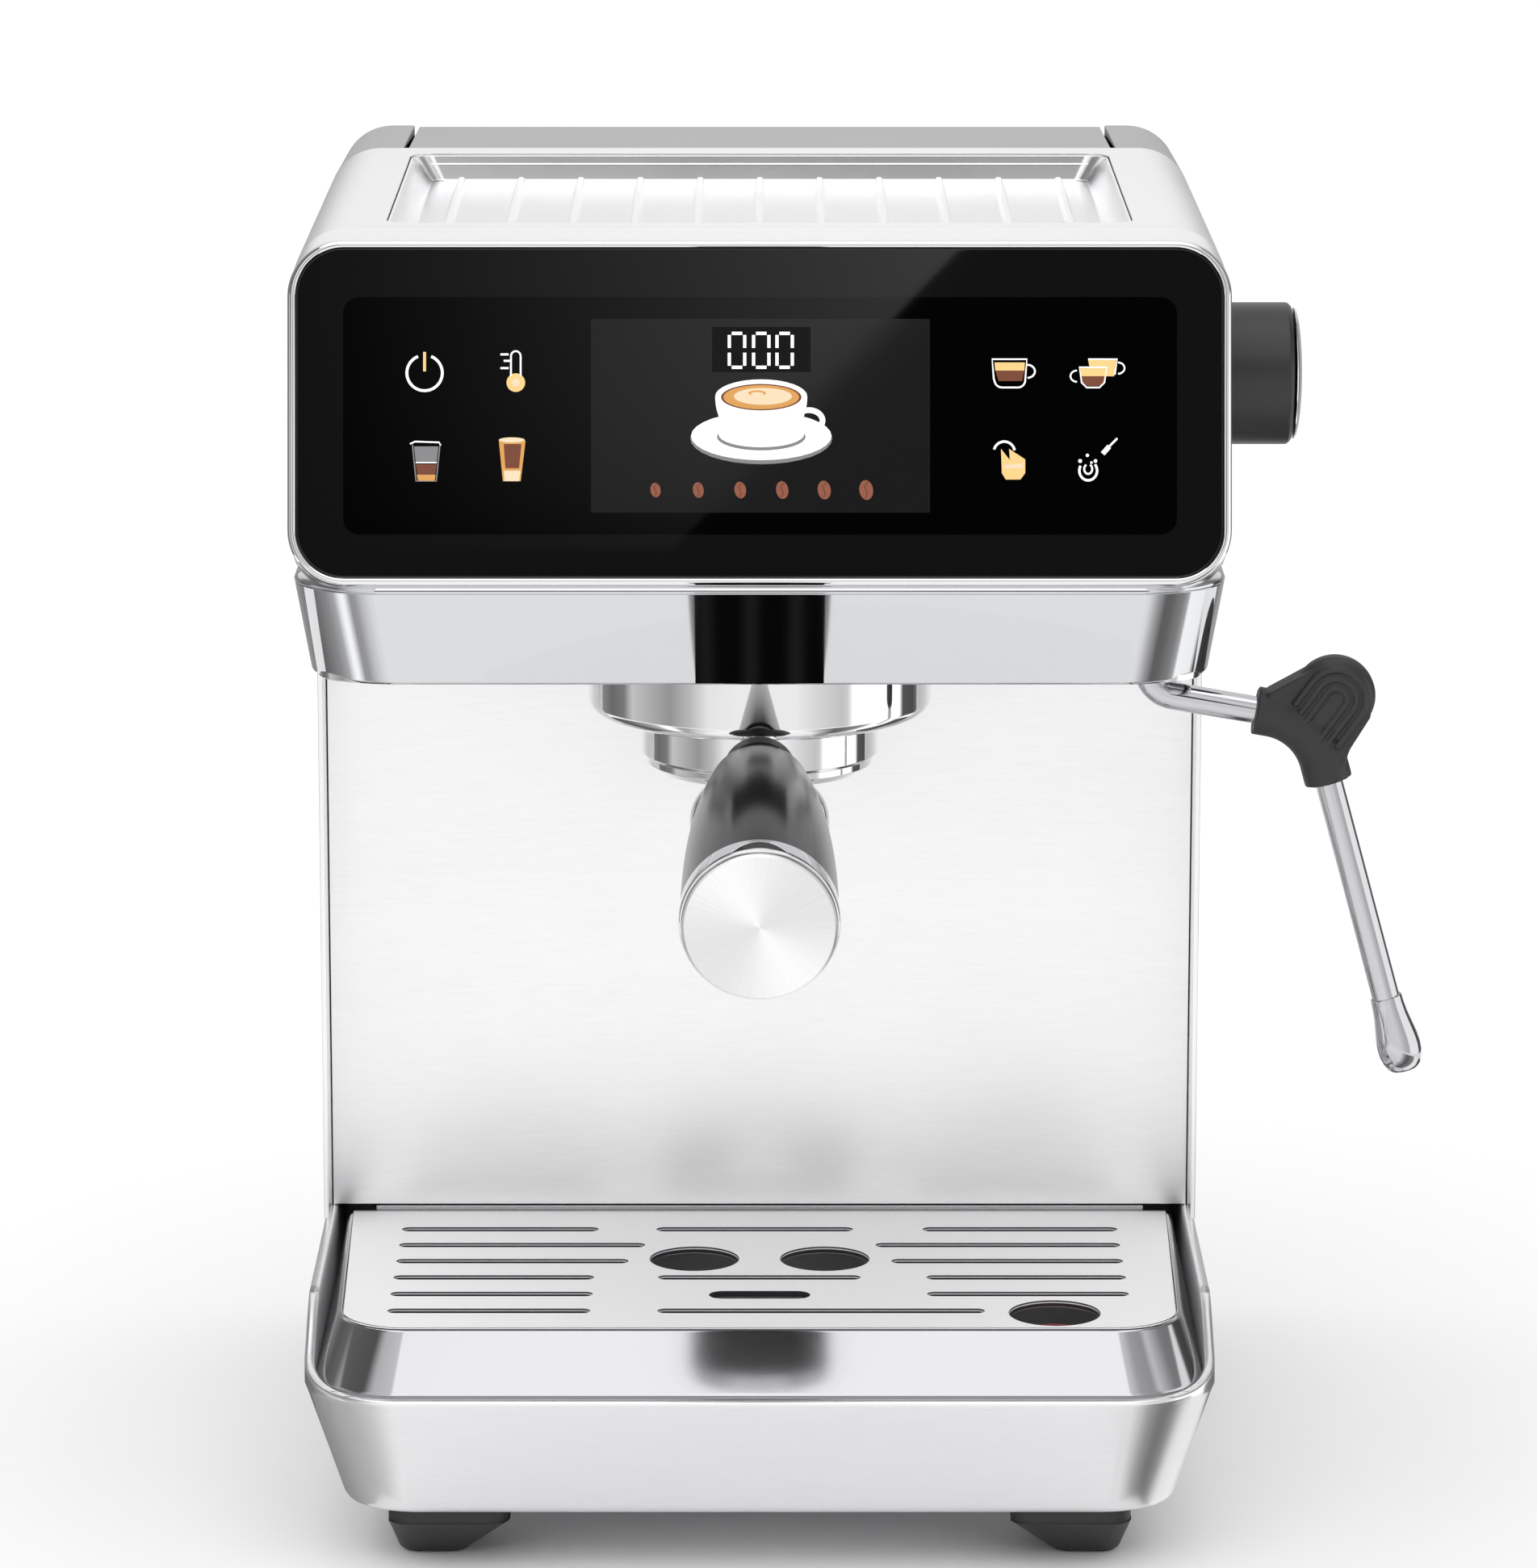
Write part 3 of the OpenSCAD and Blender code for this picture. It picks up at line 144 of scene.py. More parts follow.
def new_group(kind: Group, inputs: dict[str, float], outputs: Sequence[str]) -> NodeTree:
    """Make an empty shader group with named float sockets.

    Args:
        kind: Which shared effect the group holds.
        inputs: Inputs and their defaults.
        outputs: Names of the outputs.

    Returns:
        The node tree, with a group input called "in" and an output called "out".
    """
    tree = bpy.data.node_groups.new(kind.value, "ShaderNodeTree")
    for name, value in inputs.items():
        tree.interface.new_socket(name, in_out="INPUT", socket_type="NodeSocketFloat").default_value = value
    for name in outputs:
        tree.interface.new_socket(name, in_out="OUTPUT", socket_type="NodeSocketFloat")
    tree.nodes.new("NodeGroupInput").name = "in"
    tree.nodes.new("NodeGroupOutput").name = "out"
    return tree


def math_node(tree: NodeTree, operation: str, *values: Socket | float) -> Socket:
    """Result of a new Math node, fed with sockets or plain numbers."""
    node = tree.nodes.new("ShaderNodeMath")
    node.operation = operation
    for slot, value in zip(node.inputs, values):
        if isinstance(value, (int, float)):
            slot.default_value = value
        else:
            tree.links.new(value, slot)
    return node.outputs[0]


def object_coords(tree: NodeTree, scale: Sequence[float | Socket]) -> Socket:
    """Object coordinates, stretched along each axis by a number or a socket."""
    coords, split, join = (tree.nodes.new(f"ShaderNode{kind}")
                           for kind in ("TexCoord", "SeparateXYZ", "CombineXYZ"))
    tree.links.new(coords.outputs["Object"], split.inputs[0])
    for index, factor in enumerate(scale):
        tree.links.new(math_node(tree, "MULTIPLY", split.outputs[index], factor), join.inputs[index])
    return join.outputs[0]


def noise(tree: NodeTree, vector: Socket, scale: float, detail: float) -> Socket:
    """Factor of a noise texture on a vector, with its size per metre and its octaves."""
    node = tree.nodes.new("ShaderNodeTexNoise")
    set_inputs(node, {"Scale": scale, "Detail": detail})
    tree.links.new(vector, node.inputs["Vector"])
    return node.outputs["Factor"] if "Factor" in node.outputs else node.outputs["Fac"]


def grain_group() -> NodeTree:
    """Build the group of fine lines that a brush leaves on steel."""
    tree = new_group(Group.GRAIN, dict(zip(ALONG, (6.0, 900.0, 900.0))), ("Lines", "Patches"))
    source = [tree.nodes["in"].outputs[name] for name in ALONG]
    fine = noise(tree, object_coords(tree, source), 2.4, 6.0)
    slow = [math_node(tree, "MULTIPLY", axis, 0.045) for axis in source]
    patches = noise(tree, object_coords(tree, slow), 2.0, 3.0)
    tree.links.new(fine, tree.nodes["out"].inputs["Lines"])
    tree.links.new(patches, tree.nodes["out"].inputs["Patches"])
    return tree


def smudge_group() -> NodeTree:
    """Build the group of faint uneven marks on smooth faces."""
    tree = new_group(Group.SMUDGE, {"Scale": 30.0}, ("Marks",))
    scale = tree.nodes["in"].outputs["Scale"]
    wide = noise(tree, object_coords(tree, [scale] * 3), 1.0, 3.0)
    quick = math_node(tree, "MULTIPLY", scale, 9.0)
    fine = noise(tree, object_coords(tree, [quick] * 3), 1.0, 2.0)
    mixed = math_node(tree, "MULTIPLY_ADD", fine, 0.3, math_node(tree, "MULTIPLY", wide, 0.7))
    tree.links.new(mixed, tree.nodes["out"].inputs["Marks"])
    return tree


def wear_group() -> NodeTree:
    """Build the group that marks edges rubbed by handling."""
    tree = new_group(Group.WEAR, {"Width": 0.03}, ("Edges",))
    geometry = tree.nodes.new("ShaderNodeNewGeometry")
    above = math_node(tree, "SUBTRACT", geometry.outputs["Pointiness"], 0.5)
    mask = math_node(tree, "DIVIDE", above, tree.nodes["in"].outputs["Width"])
    mask.node.use_clamp = True
    tree.links.new(mask, tree.nodes["out"].inputs["Edges"])
    return tree


class Groups:
    """The shared shader groups, each built once."""

    def __init__(self) -> None:
        """Build every group."""
        self.trees = {Group.GRAIN: grain_group(), Group.SMUDGE: smudge_group(), Group.WEAR: wear_group()}

    def place(self, tree: NodeTree, kind: Group, values: dict[str, float] | None = None) -> Node:
        """Group node put into a material's tree, with its input values."""
        node = tree.nodes.new("ShaderNodeGroup")
        node.node_tree = self.trees[kind]
        set_inputs(node, values or {})
        return node


# ---------------------------------------------------------------- finishes

def new_material(name: str, values: dict[str, object]) -> tuple[Material, NodeTree, Node]:
    """New material with plain values on its shader, then its tree and the shader."""
    material = bpy.data.materials.new(name)
    material.use_nodes = True
    shader = material.node_tree.nodes["Principled BSDF"]
    set_inputs(shader, values)
    return material, material.node_tree, shader


def blend(tree: NodeTree, shader: Node, factor: Socket, dark: Iterable[float],
          light: Iterable[float]) -> None:
    """Feed the base colour with a mix of a dark and a light colour."""
    mix = tree.nodes.new("ShaderNodeMix")
    mix.data_type = "RGBA"
    set_inputs(mix, {"A": (*dark, 1), "B": (*light, 1)})
    tree.links.new(factor, mix.inputs["Factor"])
    tree.links.new(mix.outputs["Result"], shader.inputs["Base Color"])


@dataclass(frozen=True)
class Finish:
    """A surface finish: base colour, gloss and how much each small effect shows."""

    name: str
    colour: Triple
    roughness: float
    metallic: float = 0.0
    tone: float = 0.02
    marks: float = 0.02
    brush: Triple | None = None
    line_depth: float = 0.0
    pebble: float = 0.0
    pebble_scale: float = 2500.0
    transmission: float = 0.0
    specular: float = 0.5
    glow: float = 0.0
    anisotropy: float = 0.0
    wear: float = 0.0

    def build(self, groups: Groups) -> Material:
        """Make the material.

        Args:
            groups: The shared shader groups.

        Returns:
            The finished material.
        """
        material, tree, shader = new_material(self.name, {
            "Metallic": self.metallic, "Transmission Weight": self.transmission,
            "Specular IOR Level": self.specular, "Anisotropic": self.anisotropy})
        if self.glow:
            set_inputs(shader, {"Emission Color": (*self.colour, 1), "Emission Strength": self.glow})
        marks = pattern = groups.place(tree, Group.SMUDGE).outputs["Marks"]
        if self.brush:
            grain = groups.place(tree, Group.GRAIN, dict(zip(ALONG, self.brush)))
            pattern = math_node(tree, "MULTIPLY_ADD", grain.outputs["Patches"], 0.3,
                                math_node(tree, "MULTIPLY", grain.outputs["Lines"], 0.7))
            self.bump(tree, shader, grain.outputs["Lines"], self.line_depth)
        elif self.pebble:
            coords = object_coords(tree, [self.pebble_scale] * 3)
            self.bump(tree, shader, noise(tree, coords, 1.0, 2.0), self.pebble)
        if self.wear:
            edges = groups.place(tree, Group.WEAR).outputs["Edges"]
            pattern = math_node(tree, "MULTIPLY_ADD", edges, self.wear, pattern)
        self.tint(tree, shader, pattern)
        low = max(0.01, self.roughness - self.marks * 0.5)
        tree.links.new(math_node(tree, "MULTIPLY_ADD", marks, self.marks, low), shader.inputs["Roughness"])
        return material

    def shades(self, darker: float, lighter: float) -> tuple[list[float], list[float]]:
        """The colour made darker and lighter by shares."""
        return [c * (1 - darker) for c in self.colour], [min(1.0, c * (1 + lighter)) for c in self.colour]

    def tint(self, tree: NodeTree, shader: Node, pattern: Socket) -> None:
        """Vary the base colour a little with a pattern."""
        blend(tree, shader, pattern, *self.shades(self.tone, self.tone * 0.6))

    def bump(self, tree: NodeTree, shader: Node, height: Socket, depth: float) -> None:
        """Raise the surface by a height pattern, depth in millimetres."""
        node = tree.nodes.new("ShaderNodeBump")
        set_inputs(node, {"Distance": depth * MM, "Strength": 1.0})
        tree.links.new(height, node.inputs["Height"])
        tree.links.new(node.outputs["Normal"], shader.inputs["Normal"])


@dataclass(frozen=True)
class SpunFinishWithPaintedHighlight(Finish):
    """Steel turned on a lathe: fine lines, with painted highlight wedges that fan out from the middle."""

    # Share by which the fine lines and the painted highlight wedges darken and lighten the colour
    painted_highlight_and_grain_share: float = 0.14
    # Where the painted highlight wedges point, as a share of a turn round the disc
    heading: float = 0.34
    lines: float = 130.0

    def tint(self, tree: NodeTree, shader: Node, pattern: Socket) -> None:
        """Vary the base colour with the angle round the disc's axis: fine spun lines and two broad painted
        highlight wedges.
        """
        chart = tree.nodes.new("ShaderNodeUVMap")
        chart.uv_map = ROUND_UV
        split = tree.nodes.new("ShaderNodeSeparateXYZ")
        tree.links.new(chart.outputs[0], split.inputs[0])
        turn = math_node(tree, "MULTIPLY_ADD", split.outputs[0], 2 * math.tau, -2 * math.tau * self.heading)
        # Painted highlight: two broad lighter wedges by the angle round the disc
        wave = math_node(tree, "MULTIPLY_ADD", math_node(tree, "COSINE", turn), 0.5, 0.5)
        painted_highlight = math_node(tree, "POWER", wave, 1.5)
        join = tree.nodes.new("ShaderNodeCombineXYZ")
        tree.links.new(math_node(tree, "MULTIPLY", split.outputs[0], self.lines), join.inputs[0])
        fine = noise(tree, join.outputs[0], 1.0, 5.0)
        mixed = math_node(tree, "MULTIPLY_ADD", fine, 0.45, math_node(tree, "MULTIPLY", painted_highlight, 0.75))
        blend(tree, shader, mixed, *self.shades(self.painted_highlight_and_grain_share, self.painted_highlight_and_grain_share))


# Pattern sizes per metre along X, Y and Z
ACROSS = (5.0, 700.0, 700.0)
STREAKS = (45.0, 600.0, 600.0)

FINISHES = {
    "splash_steel": Finish(
        "splash steel, brushed across", (0.965, 0.965, 0.975), 0.33, 1, 0.08, 0.05, STREAKS, 0.006),
    "brushed_steel": Finish(
        "brushed steel", (0.86, 0.86, 0.87), 0.25, 0.95, 0.07, 0.04, STREAKS, 0.004, wear=0.5),
    "top_steel": Finish("casing steel, satin", (0.93, 0.93, 0.94), 0.24, 1, 0.03, 0.05, ACROSS, 0.001),
    # Darker copy of the casing steel for the shelf's floor: painted shade in the recess
    "shelf_steel": Finish("floor of the cup shelf, painted shade", (0.78, 0.78, 0.79), 0.20, 1, 0.03, 0.05, ACROSS, 0.001),
    "grid_steel": Finish("grid steel", (0.97, 0.97, 0.98), 0.36, 0.22, 0.04, 0.05, ACROSS, 0.002),
    "cut_steel": Finish("burnt cut edges", (0.05, 0.05, 0.055), 0.3, 0.3, 0.03, 0.05),
    "cut_face": Finish("bright cut faces", (0.92, 0.92, 0.93), 0.4, 0.1, 0.03, 0.05),
    "liner": Finish("satin inner walls", (0.88, 0.88, 0.89), 0.42, 0.25, 0.03, 0.06),
    "rim_steel": Finish("tray rim, polished", (0.52, 0.52, 0.535), 0.10, 1, 0.02, 0.04),
    "tube_steel": Finish("wand tube", (0.60, 0.60, 0.62), 0.08, 1, 0.03, 0.04),
    "polished_steel": Finish("polished steel", (0.83, 0.83, 0.84), 0.10, 1, 0.02, 0.05),
    "chin_steel": Finish("chin, polished", (0.68, 0.685, 0.70), 0.05, 1, 0.02, 0.03),
    "chrome": Finish("bright chrome", (0.86, 0.86, 0.87), 0.04, 1, 0.02, 0.03),
    # The end disc's finish paints highlight wedges into its colour
    "spun_steel": SpunFinishWithPaintedHighlight("spun end disc with painted highlights", (0.80, 0.81, 0.80), 0.26, 1, 0.02, 0.04, anisotropy=0.6),
    "sheet_steel": Finish("galvanised sheet", (0.60, 0.61, 0.62), 0.42, 1, 0.12, 0.1),
    "grey_plastic": Finish(
        "grey moulded plastic", (0.33, 0.33, 0.34), 0.42, 0, 0.04, 0.08, pebble=0.02, wear=0.6),
    "black_plastic": Finish(
        "black moulded plastic", (0.022, 0.022, 0.023), 0.42, 0, 0.1, 0.1, pebble=0.012, wear=0.6),
    "tray_plastic": Finish(
        "tray, grey moulded plastic", (0.5, 0.5, 0.51), 0.34, 0, 0.06, 0.08, pebble=0.008, wear=0.6),
    "knob_black": Finish(
        "knob, satin black", (0.020, 0.020, 0.021), 0.38, 0, 0.06, 0.06, pebble=0.004, wear=0.6),
    "grip_black": Finish("grip, gloss black", (0.010, 0.010, 0.011), 0.21, 0, 0.05, 0.05, specular=0.60),
    "rubber": Finish("black rubber", (0.021, 0.021, 0.021), 0.50, 0, 0.1, 0.1, pebble=0.02, wear=0.6),
    "glass_black": Finish("black front glass", (0.0058, 0.0058, 0.0060), 0.02, marks=0.01),
    "window_black": Finish("window print", (0.0006, 0.0006, 0.0007), 0.02, marks=0.01),
    "screen_black": Finish("lit screen", (0.0075, 0.0075, 0.0080), 0.05, marks=0.01, glow=0.6),
    "board": Finish("circuit board", (0.03, 0.16, 0.08), 0.45, 0, 0.15, 0.1),
    "brass": Finish("turned brass", (0.72, 0.55, 0.27), 0.28, 1, 0.08, 0.08),
    "cast": Finish("cast aluminium", (0.62, 0.63, 0.64), 0.55, 1, 0.1, 0.1, None, 0, 0.05, 1400.0, wear=0.6),
    "coil": Finish("coil shell", (0.05, 0.055, 0.06), 0.35, 0, 0.08, 0.08),
    "tank": Finish("clear tank plastic", (0.80, 0.86, 0.90), 0.12, 0, 0.02, 0.04, transmission=0.9),
    "silicone": Finish("silicone hose", (0.74, 0.74, 0.71), 0.45, 0, 0.05, 0.05),
    "float_red": Finish("red float", (0.30, 0.06, 0.055), 0.35, 0, 0.06, 0.06),
    "print_white": Finish("white print", (0.86, 0.86, 0.86), 0.35, glow=0.35),
    "print_gold": Finish("gold print", (0.80, 0.52, 0.20), 0.35, tone=0.06, glow=0.3),
    "print_amber": Finish("amber print", (0.62, 0.30, 0.08), 0.35, tone=0.1, glow=0.25),
    "print_brown": Finish("coffee print", (0.16, 0.045, 0.02), 0.35, tone=0.2, glow=0.25),
    "print_cream": Finish("milk print", (0.80, 0.62, 0.42), 0.35, tone=0.1, glow=0.25),
    "print_grey": Finish("grey print", (0.20, 0.20, 0.21), 0.35, tone=0.1, glow=0.25),
    "print_bean": Finish("bean print", (0.24, 0.075, 0.04), 0.35, tone=0.2, glow=0.3),
    "print_dark": Finish("digit field", (0.003, 0.003, 0.003), 0.2, marks=0.01),
}


class Palette:
    """Materials made from the finishes when first asked for."""

    def __init__(self) -> None:
        """Start with the shared groups and no materials."""
        self.groups = Groups()
        self.made: dict[str, Material] = {}

    def __getitem__(self, key: str) -> Material:
        """Material of a finish, made once."""
        if key not in self.made:
            self.made[key] = FINISHES[key].build(self.groups)
        return self.made[key]


# ---------------------------------------------------------------- mesh tools

# Lift that holds outlines in one plane apart while they are bridged, or the bridge may cross over
APART = 50.0
# Angles in degrees: triangles joined into one face below the first, edges rounded above the second
FLAT = 0.6
SHARP = 35.0


def link(name: str, data: bpy.types.ID) -> Object:
    """New object with the data, linked to the scene."""
    obj = bpy.data.objects.new(name, data)
    bpy.context.scene.collection.objects.link(obj)
    return obj


def mesh_object(name: str, bm: BMesh, materials: Sequence[Material]) -> Object:
    """New linked object made from a bmesh, which is freed."""
    mesh = bpy.data.meshes.new(name)
    bm.to_mesh(mesh)
    bm.free()
    for material in materials:
        mesh.materials.append(material)
    return link(name, mesh)


def piece(name: str, bm: BMesh, materials: Sequence[Material], matrix: Matrix, body: str, slot: str,
          node: str = "", crease: float = 32.0, weigh: bool = True) -> Object:
    """Turn a bmesh into a finished piece of the machine.

    Args:
        name: The piece's name.
        bm: Its mesh in millimetres of its own place. It is freed.
        materials: Its material slots.
        matrix: From the mesh's millimetres to the model's metres.
        body: The body that carries it.
        slot: Material slot of the record; not used.
        node: CAD node it stands for, if any.
        crease: Angle in degrees above which an edge stays sharp.
        weigh: Whether normals are weighted by face area.

    Returns:
        The linked object.
    """
    ops.transform(bm, matrix=matrix, verts=bm.verts)
    ops.remove_doubles(bm, verts=bm.verts, dist=1e-7)
    ops.recalc_face_normals(bm, faces=bm.faces)
    limit = math.radians(crease)
    for face in bm.faces:
        face.smooth = True
    for edge in bm.edges:
        edge.smooth = edge.is_manifold and edge.calc_face_angle(0.0) < limit
    obj = mesh_object(name, bm, materials)
    if weigh:
        obj.modifiers.new("weighted normals", "WEIGHTED_NORMAL").keep_sharp = True
    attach(obj, body)
    if node:
        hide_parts(node)
    LOG.info("%s: %d faces on %s", name, len(obj.data.polygons), body)
    return obj


def everything(bm: BMesh) -> list[BMVert | BMEdge | BMFace]:
    """All vertices, edges and faces of a mesh."""
    return [*bm.verts, *bm.edges, *bm.faces]


def grown_faces(made: dict[str, list], key: str = "geom") -> list[BMFace]:
    """The faces among an operator's results."""
    return [g for g in made[key] if isinstance(g, BMFace)]


def corners(faces: Iterable[BMFace]) -> list[BMVert]:
    """Every vertex of some faces, once."""
    return list({vert for face in faces for vert in face.verts})


def block(bm: BMesh, size: Triple, centre: Triple) -> list[BMVert]:
    """Vertices of a new box with its size and its middle."""
    verts = ops.create_cube(bm, size=1)["verts"]
    ops.scale(bm, vec=size, verts=verts)
    ops.translate(bm, vec=centre, verts=verts)
    return verts


def round_edges(bm: BMesh, edges: list[BMEdge], width: float, segments: int) -> None:
    """Round some edges."""
    ops.bevel(bm, geom=edges, offset=width, segments=segments, profile=0.5, affect="EDGES", material=-1)


def outline(bm: BMesh, spots: Sequence[Point], radii: Sequence[float], z: float, segments: int) -> BMFace:
    """Flat four-cornered face with rounded corners.

    Args:
        bm: Mesh that takes the face.
        spots: Four corners, counter-clockwise from the front left.
        radii: Radius of each corner, 0 to keep it sharp.
        z: Height of the face.
        segments: Segments on each corner.

    Returns:
        The face.
    """
    known = set(bm.faces)
    grid = ops.create_grid(bm, x_segments=1, y_segments=1, size=1)
    order = sorted(grid["verts"], key=lambda v: math.atan2(v.co.y, v.co.x))
    for vert, (x, y) in zip(order, spots):
        vert.co = Vector((x, y, z))
    for vert, radius in zip(order, radii):
        ops.bevel(bm, geom=[vert], offset=max(radius, 0.02), segments=segments, profile=0.5,
                  affect="VERTICES", material=-1)
    return next(face for face in bm.faces if face not in known)


def slab_outline(bm: BMesh, half: float, front: float, rear: float, radius: float, z: float, segments: int,
                 rear_half: float | None = None, rear_radius: float | None = None) -> BMFace:
    """Rounded plan outline between a front and a rear line, see outline()."""
    back = half if rear_half is None else rear_half
    tail = radius if rear_radius is None else rear_radius
    return outline(bm, [(-half, front), (half, front), (back, rear), (-back, rear)],
                   [radius, radius, tail, tail], z, segments)


def join_outlines(bm: BMesh, faces: Sequence[BMFace], closed: bool = False) -> None:
    """Bridge outlines one after the other into a solid, or into a ring when closed.

    Args:
        bm: Mesh that holds the outlines.
        faces: The outlines in order round the wall.
        closed: Whether the last joins the first, so that no cap stays.
    """
    loops = [list(face.edges) for face in faces]
    inner = faces if closed else faces[1:-1]
    ops.delete(bm, geom=list(inner), context="FACES_ONLY")
    pairs = list(zip(loops, loops[1:])) + ([(loops[-1], loops[0])] if closed else [])
    for lower, upper in pairs:
        verts = list({vert for edge in upper for vert in edge.verts})
        ops.translate(bm, vec=(0, 0, APART), verts=verts)
        ops.bridge_loops(bm, edges=[*lower, *upper])
        ops.translate(bm, vec=(0, 0, -APART), verts=verts)


def bevel_sharp(bm: BMesh, width: float, angle: float) -> None:
    """Round every edge sharper than an angle in degrees."""
    limit = math.radians(angle)
    edges = [e for e in bm.edges if e.is_manifold and e.calc_face_angle(0.0) > limit]
    if edges:
        ops.bevel(bm, geom=edges, offset=width, segments=2, profile=0.5, affect="EDGES", material=-1,
                  clamp_overlap=True)


def softened(node: str, width: float) -> BMesh:
    """Copy a CAD node's mesh in metres, join its triangles and round its sharp edges by millimetres."""
    bm = bmesh.new()
    bm.from_mesh(bpy.data.objects[node].data)
    ops.remove_doubles(bm, verts=bm.verts, dist=2e-6)
    ops.dissolve_degenerate(bm, edges=bm.edges, dist=1e-6)
    ops.dissolve_limit(bm, angle_limit=math.radians(FLAT), verts=bm.verts, edges=bm.edges,
                       use_dissolve_boundaries=False, delimit=set())
    bevel_sharp(bm, width * MM, SHARP)
    return bm


def spun(bm: BMesh, profile: Sequence[Point], steps: int = 96) -> None:
    """Turn a profile of (radius, height) points, from one end on the axis to the other, about Z."""
    profile = [(AXIS, profile[0][1]), *profile, (AXIS, profile[-1][1])]
    verts = [bm.verts.new((r, 0, z)) for r, z in profile]
    edges = [bm.edges.new(pair) for pair in zip(verts, verts[1:])]
    ops.spin(bm, geom=[*verts, *edges], cent=(0, 0, 0), axis=(0, 0, 1), angle=math.tau, steps=steps,
             use_merge=True)
    ops.remove_doubles(bm, verts=bm.verts, dist=1e-4)


class Pipe:
    """A round pipe that grows from its start in straight legs and bends, all in the XZ plane."""

    def __init__(self, bm: BMesh, start: Vector, radius: float, sides: int = 32) -> None:
        """Begin with a disc that faces straight down at the start point."""
        made = ops.create_circle(bm, cap_ends=True, segments=sides, radius=radius,
                                 matrix=Matrix.Translation(start))
        self.bm = bm
        self.end: list[BMFace] = list({f for v in made["verts"] for f in v.link_faces})
        self.at = start.copy()
        self.heading = 0.0
        self.started = False

    def forward(self) -> Vector:
        """Unit vector that the pipe heads along: 0 degrees is down, 90 is towards +X."""
        a = math.radians(self.heading)
        return Vector((math.sin(a), 0, -math.cos(a)))

    def outward(self) -> Vector:
        """Unit vector across the pipe, towards the inside of a bend to +X."""
        a = math.radians(self.heading)
        return Vector((math.cos(a), 0, math.sin(a)))

    def open_last(self) -> None:
        """Remove the face that the next leg grew from, but keep the pipe's first end closed."""
        if self.started:
            ops.delete(self.bm, geom=[f for f in self.end if f.is_valid], context="FACES_ONLY")
        self.started = True

    def straight(self, length: float) -> Pipe:
        """Run straight on for a length."""
        made = ops.extrude_face_region(self.bm, geom=self.end)
        self.open_last()
        self.end = grown_faces(made)
        self.at = self.at + self.forward() * length
        ops.translate(self.bm, verts=corners(self.end), vec=self.forward() * length)
        return self

    def bend(self, radius: float, angle: float, steps: int) -> Pipe:
        """Bend in the XZ plane by degrees, positive towards +X from straight down."""
        side = 1 if angle > 0 else -1
        centre = self.at + self.outward() * radius * side
        made = ops.spin(self.bm, geom=self.end, cent=centre, axis=(0, -1, 0), angle=math.radians(angle),
                        steps=steps)
        self.open_last()
        self.end = grown_faces(made, "geom_last")
        self.heading += angle
        self.at = centre - self.outward() * radius * side
        return self


@dataclass
class Assembly:
    """A group of pieces, with what they share: layout, palette, and each CAD node's body and slot.

    The sizes that each group adds are in the machine's millimetres, its angles in degrees.
    """

    layout: Layout
    palette: Palette
    bodies: dict[str, str]
    slots: dict[str, str]

    def add(self, name: str, bm: BMesh, finishes: str, node: str, matrix: Matrix | None = None,
            crease: float = 32.0, weigh: bool = True) -> Object:
        """Turn a bmesh into the piece that stands for a CAD node.

        Args:
            name: The piece's name.
            bm: Its mesh. It is freed.
            finishes: Keys of its finishes, one for each material slot.
            node: The CAD node.
            matrix: From the mesh to the model's metres; machine millimetres by default.
            crease: Angle in degrees above which an edge stays sharp.
            weigh: Whether normals are weighted by face area.

        Returns:
            The linked object.
        """
        materials = [self.palette[key] for key in finishes.split()]
        return piece(name, bm, materials, matrix or self.layout.place(), self.bodies[node], self.slots[node],
                     node, crease, weigh)

    def dress(self, *rows: tuple[str, str, float, str]) -> None:
        """Add softened copies of CAD nodes: a piece's name, its node, the edge's width and the finish."""
        for name, node, width, finish in rows:
            self.add(name, softened(node, width), finish, node, Matrix.Identity(4))


# ---------------------------------------------------------------- base and tray

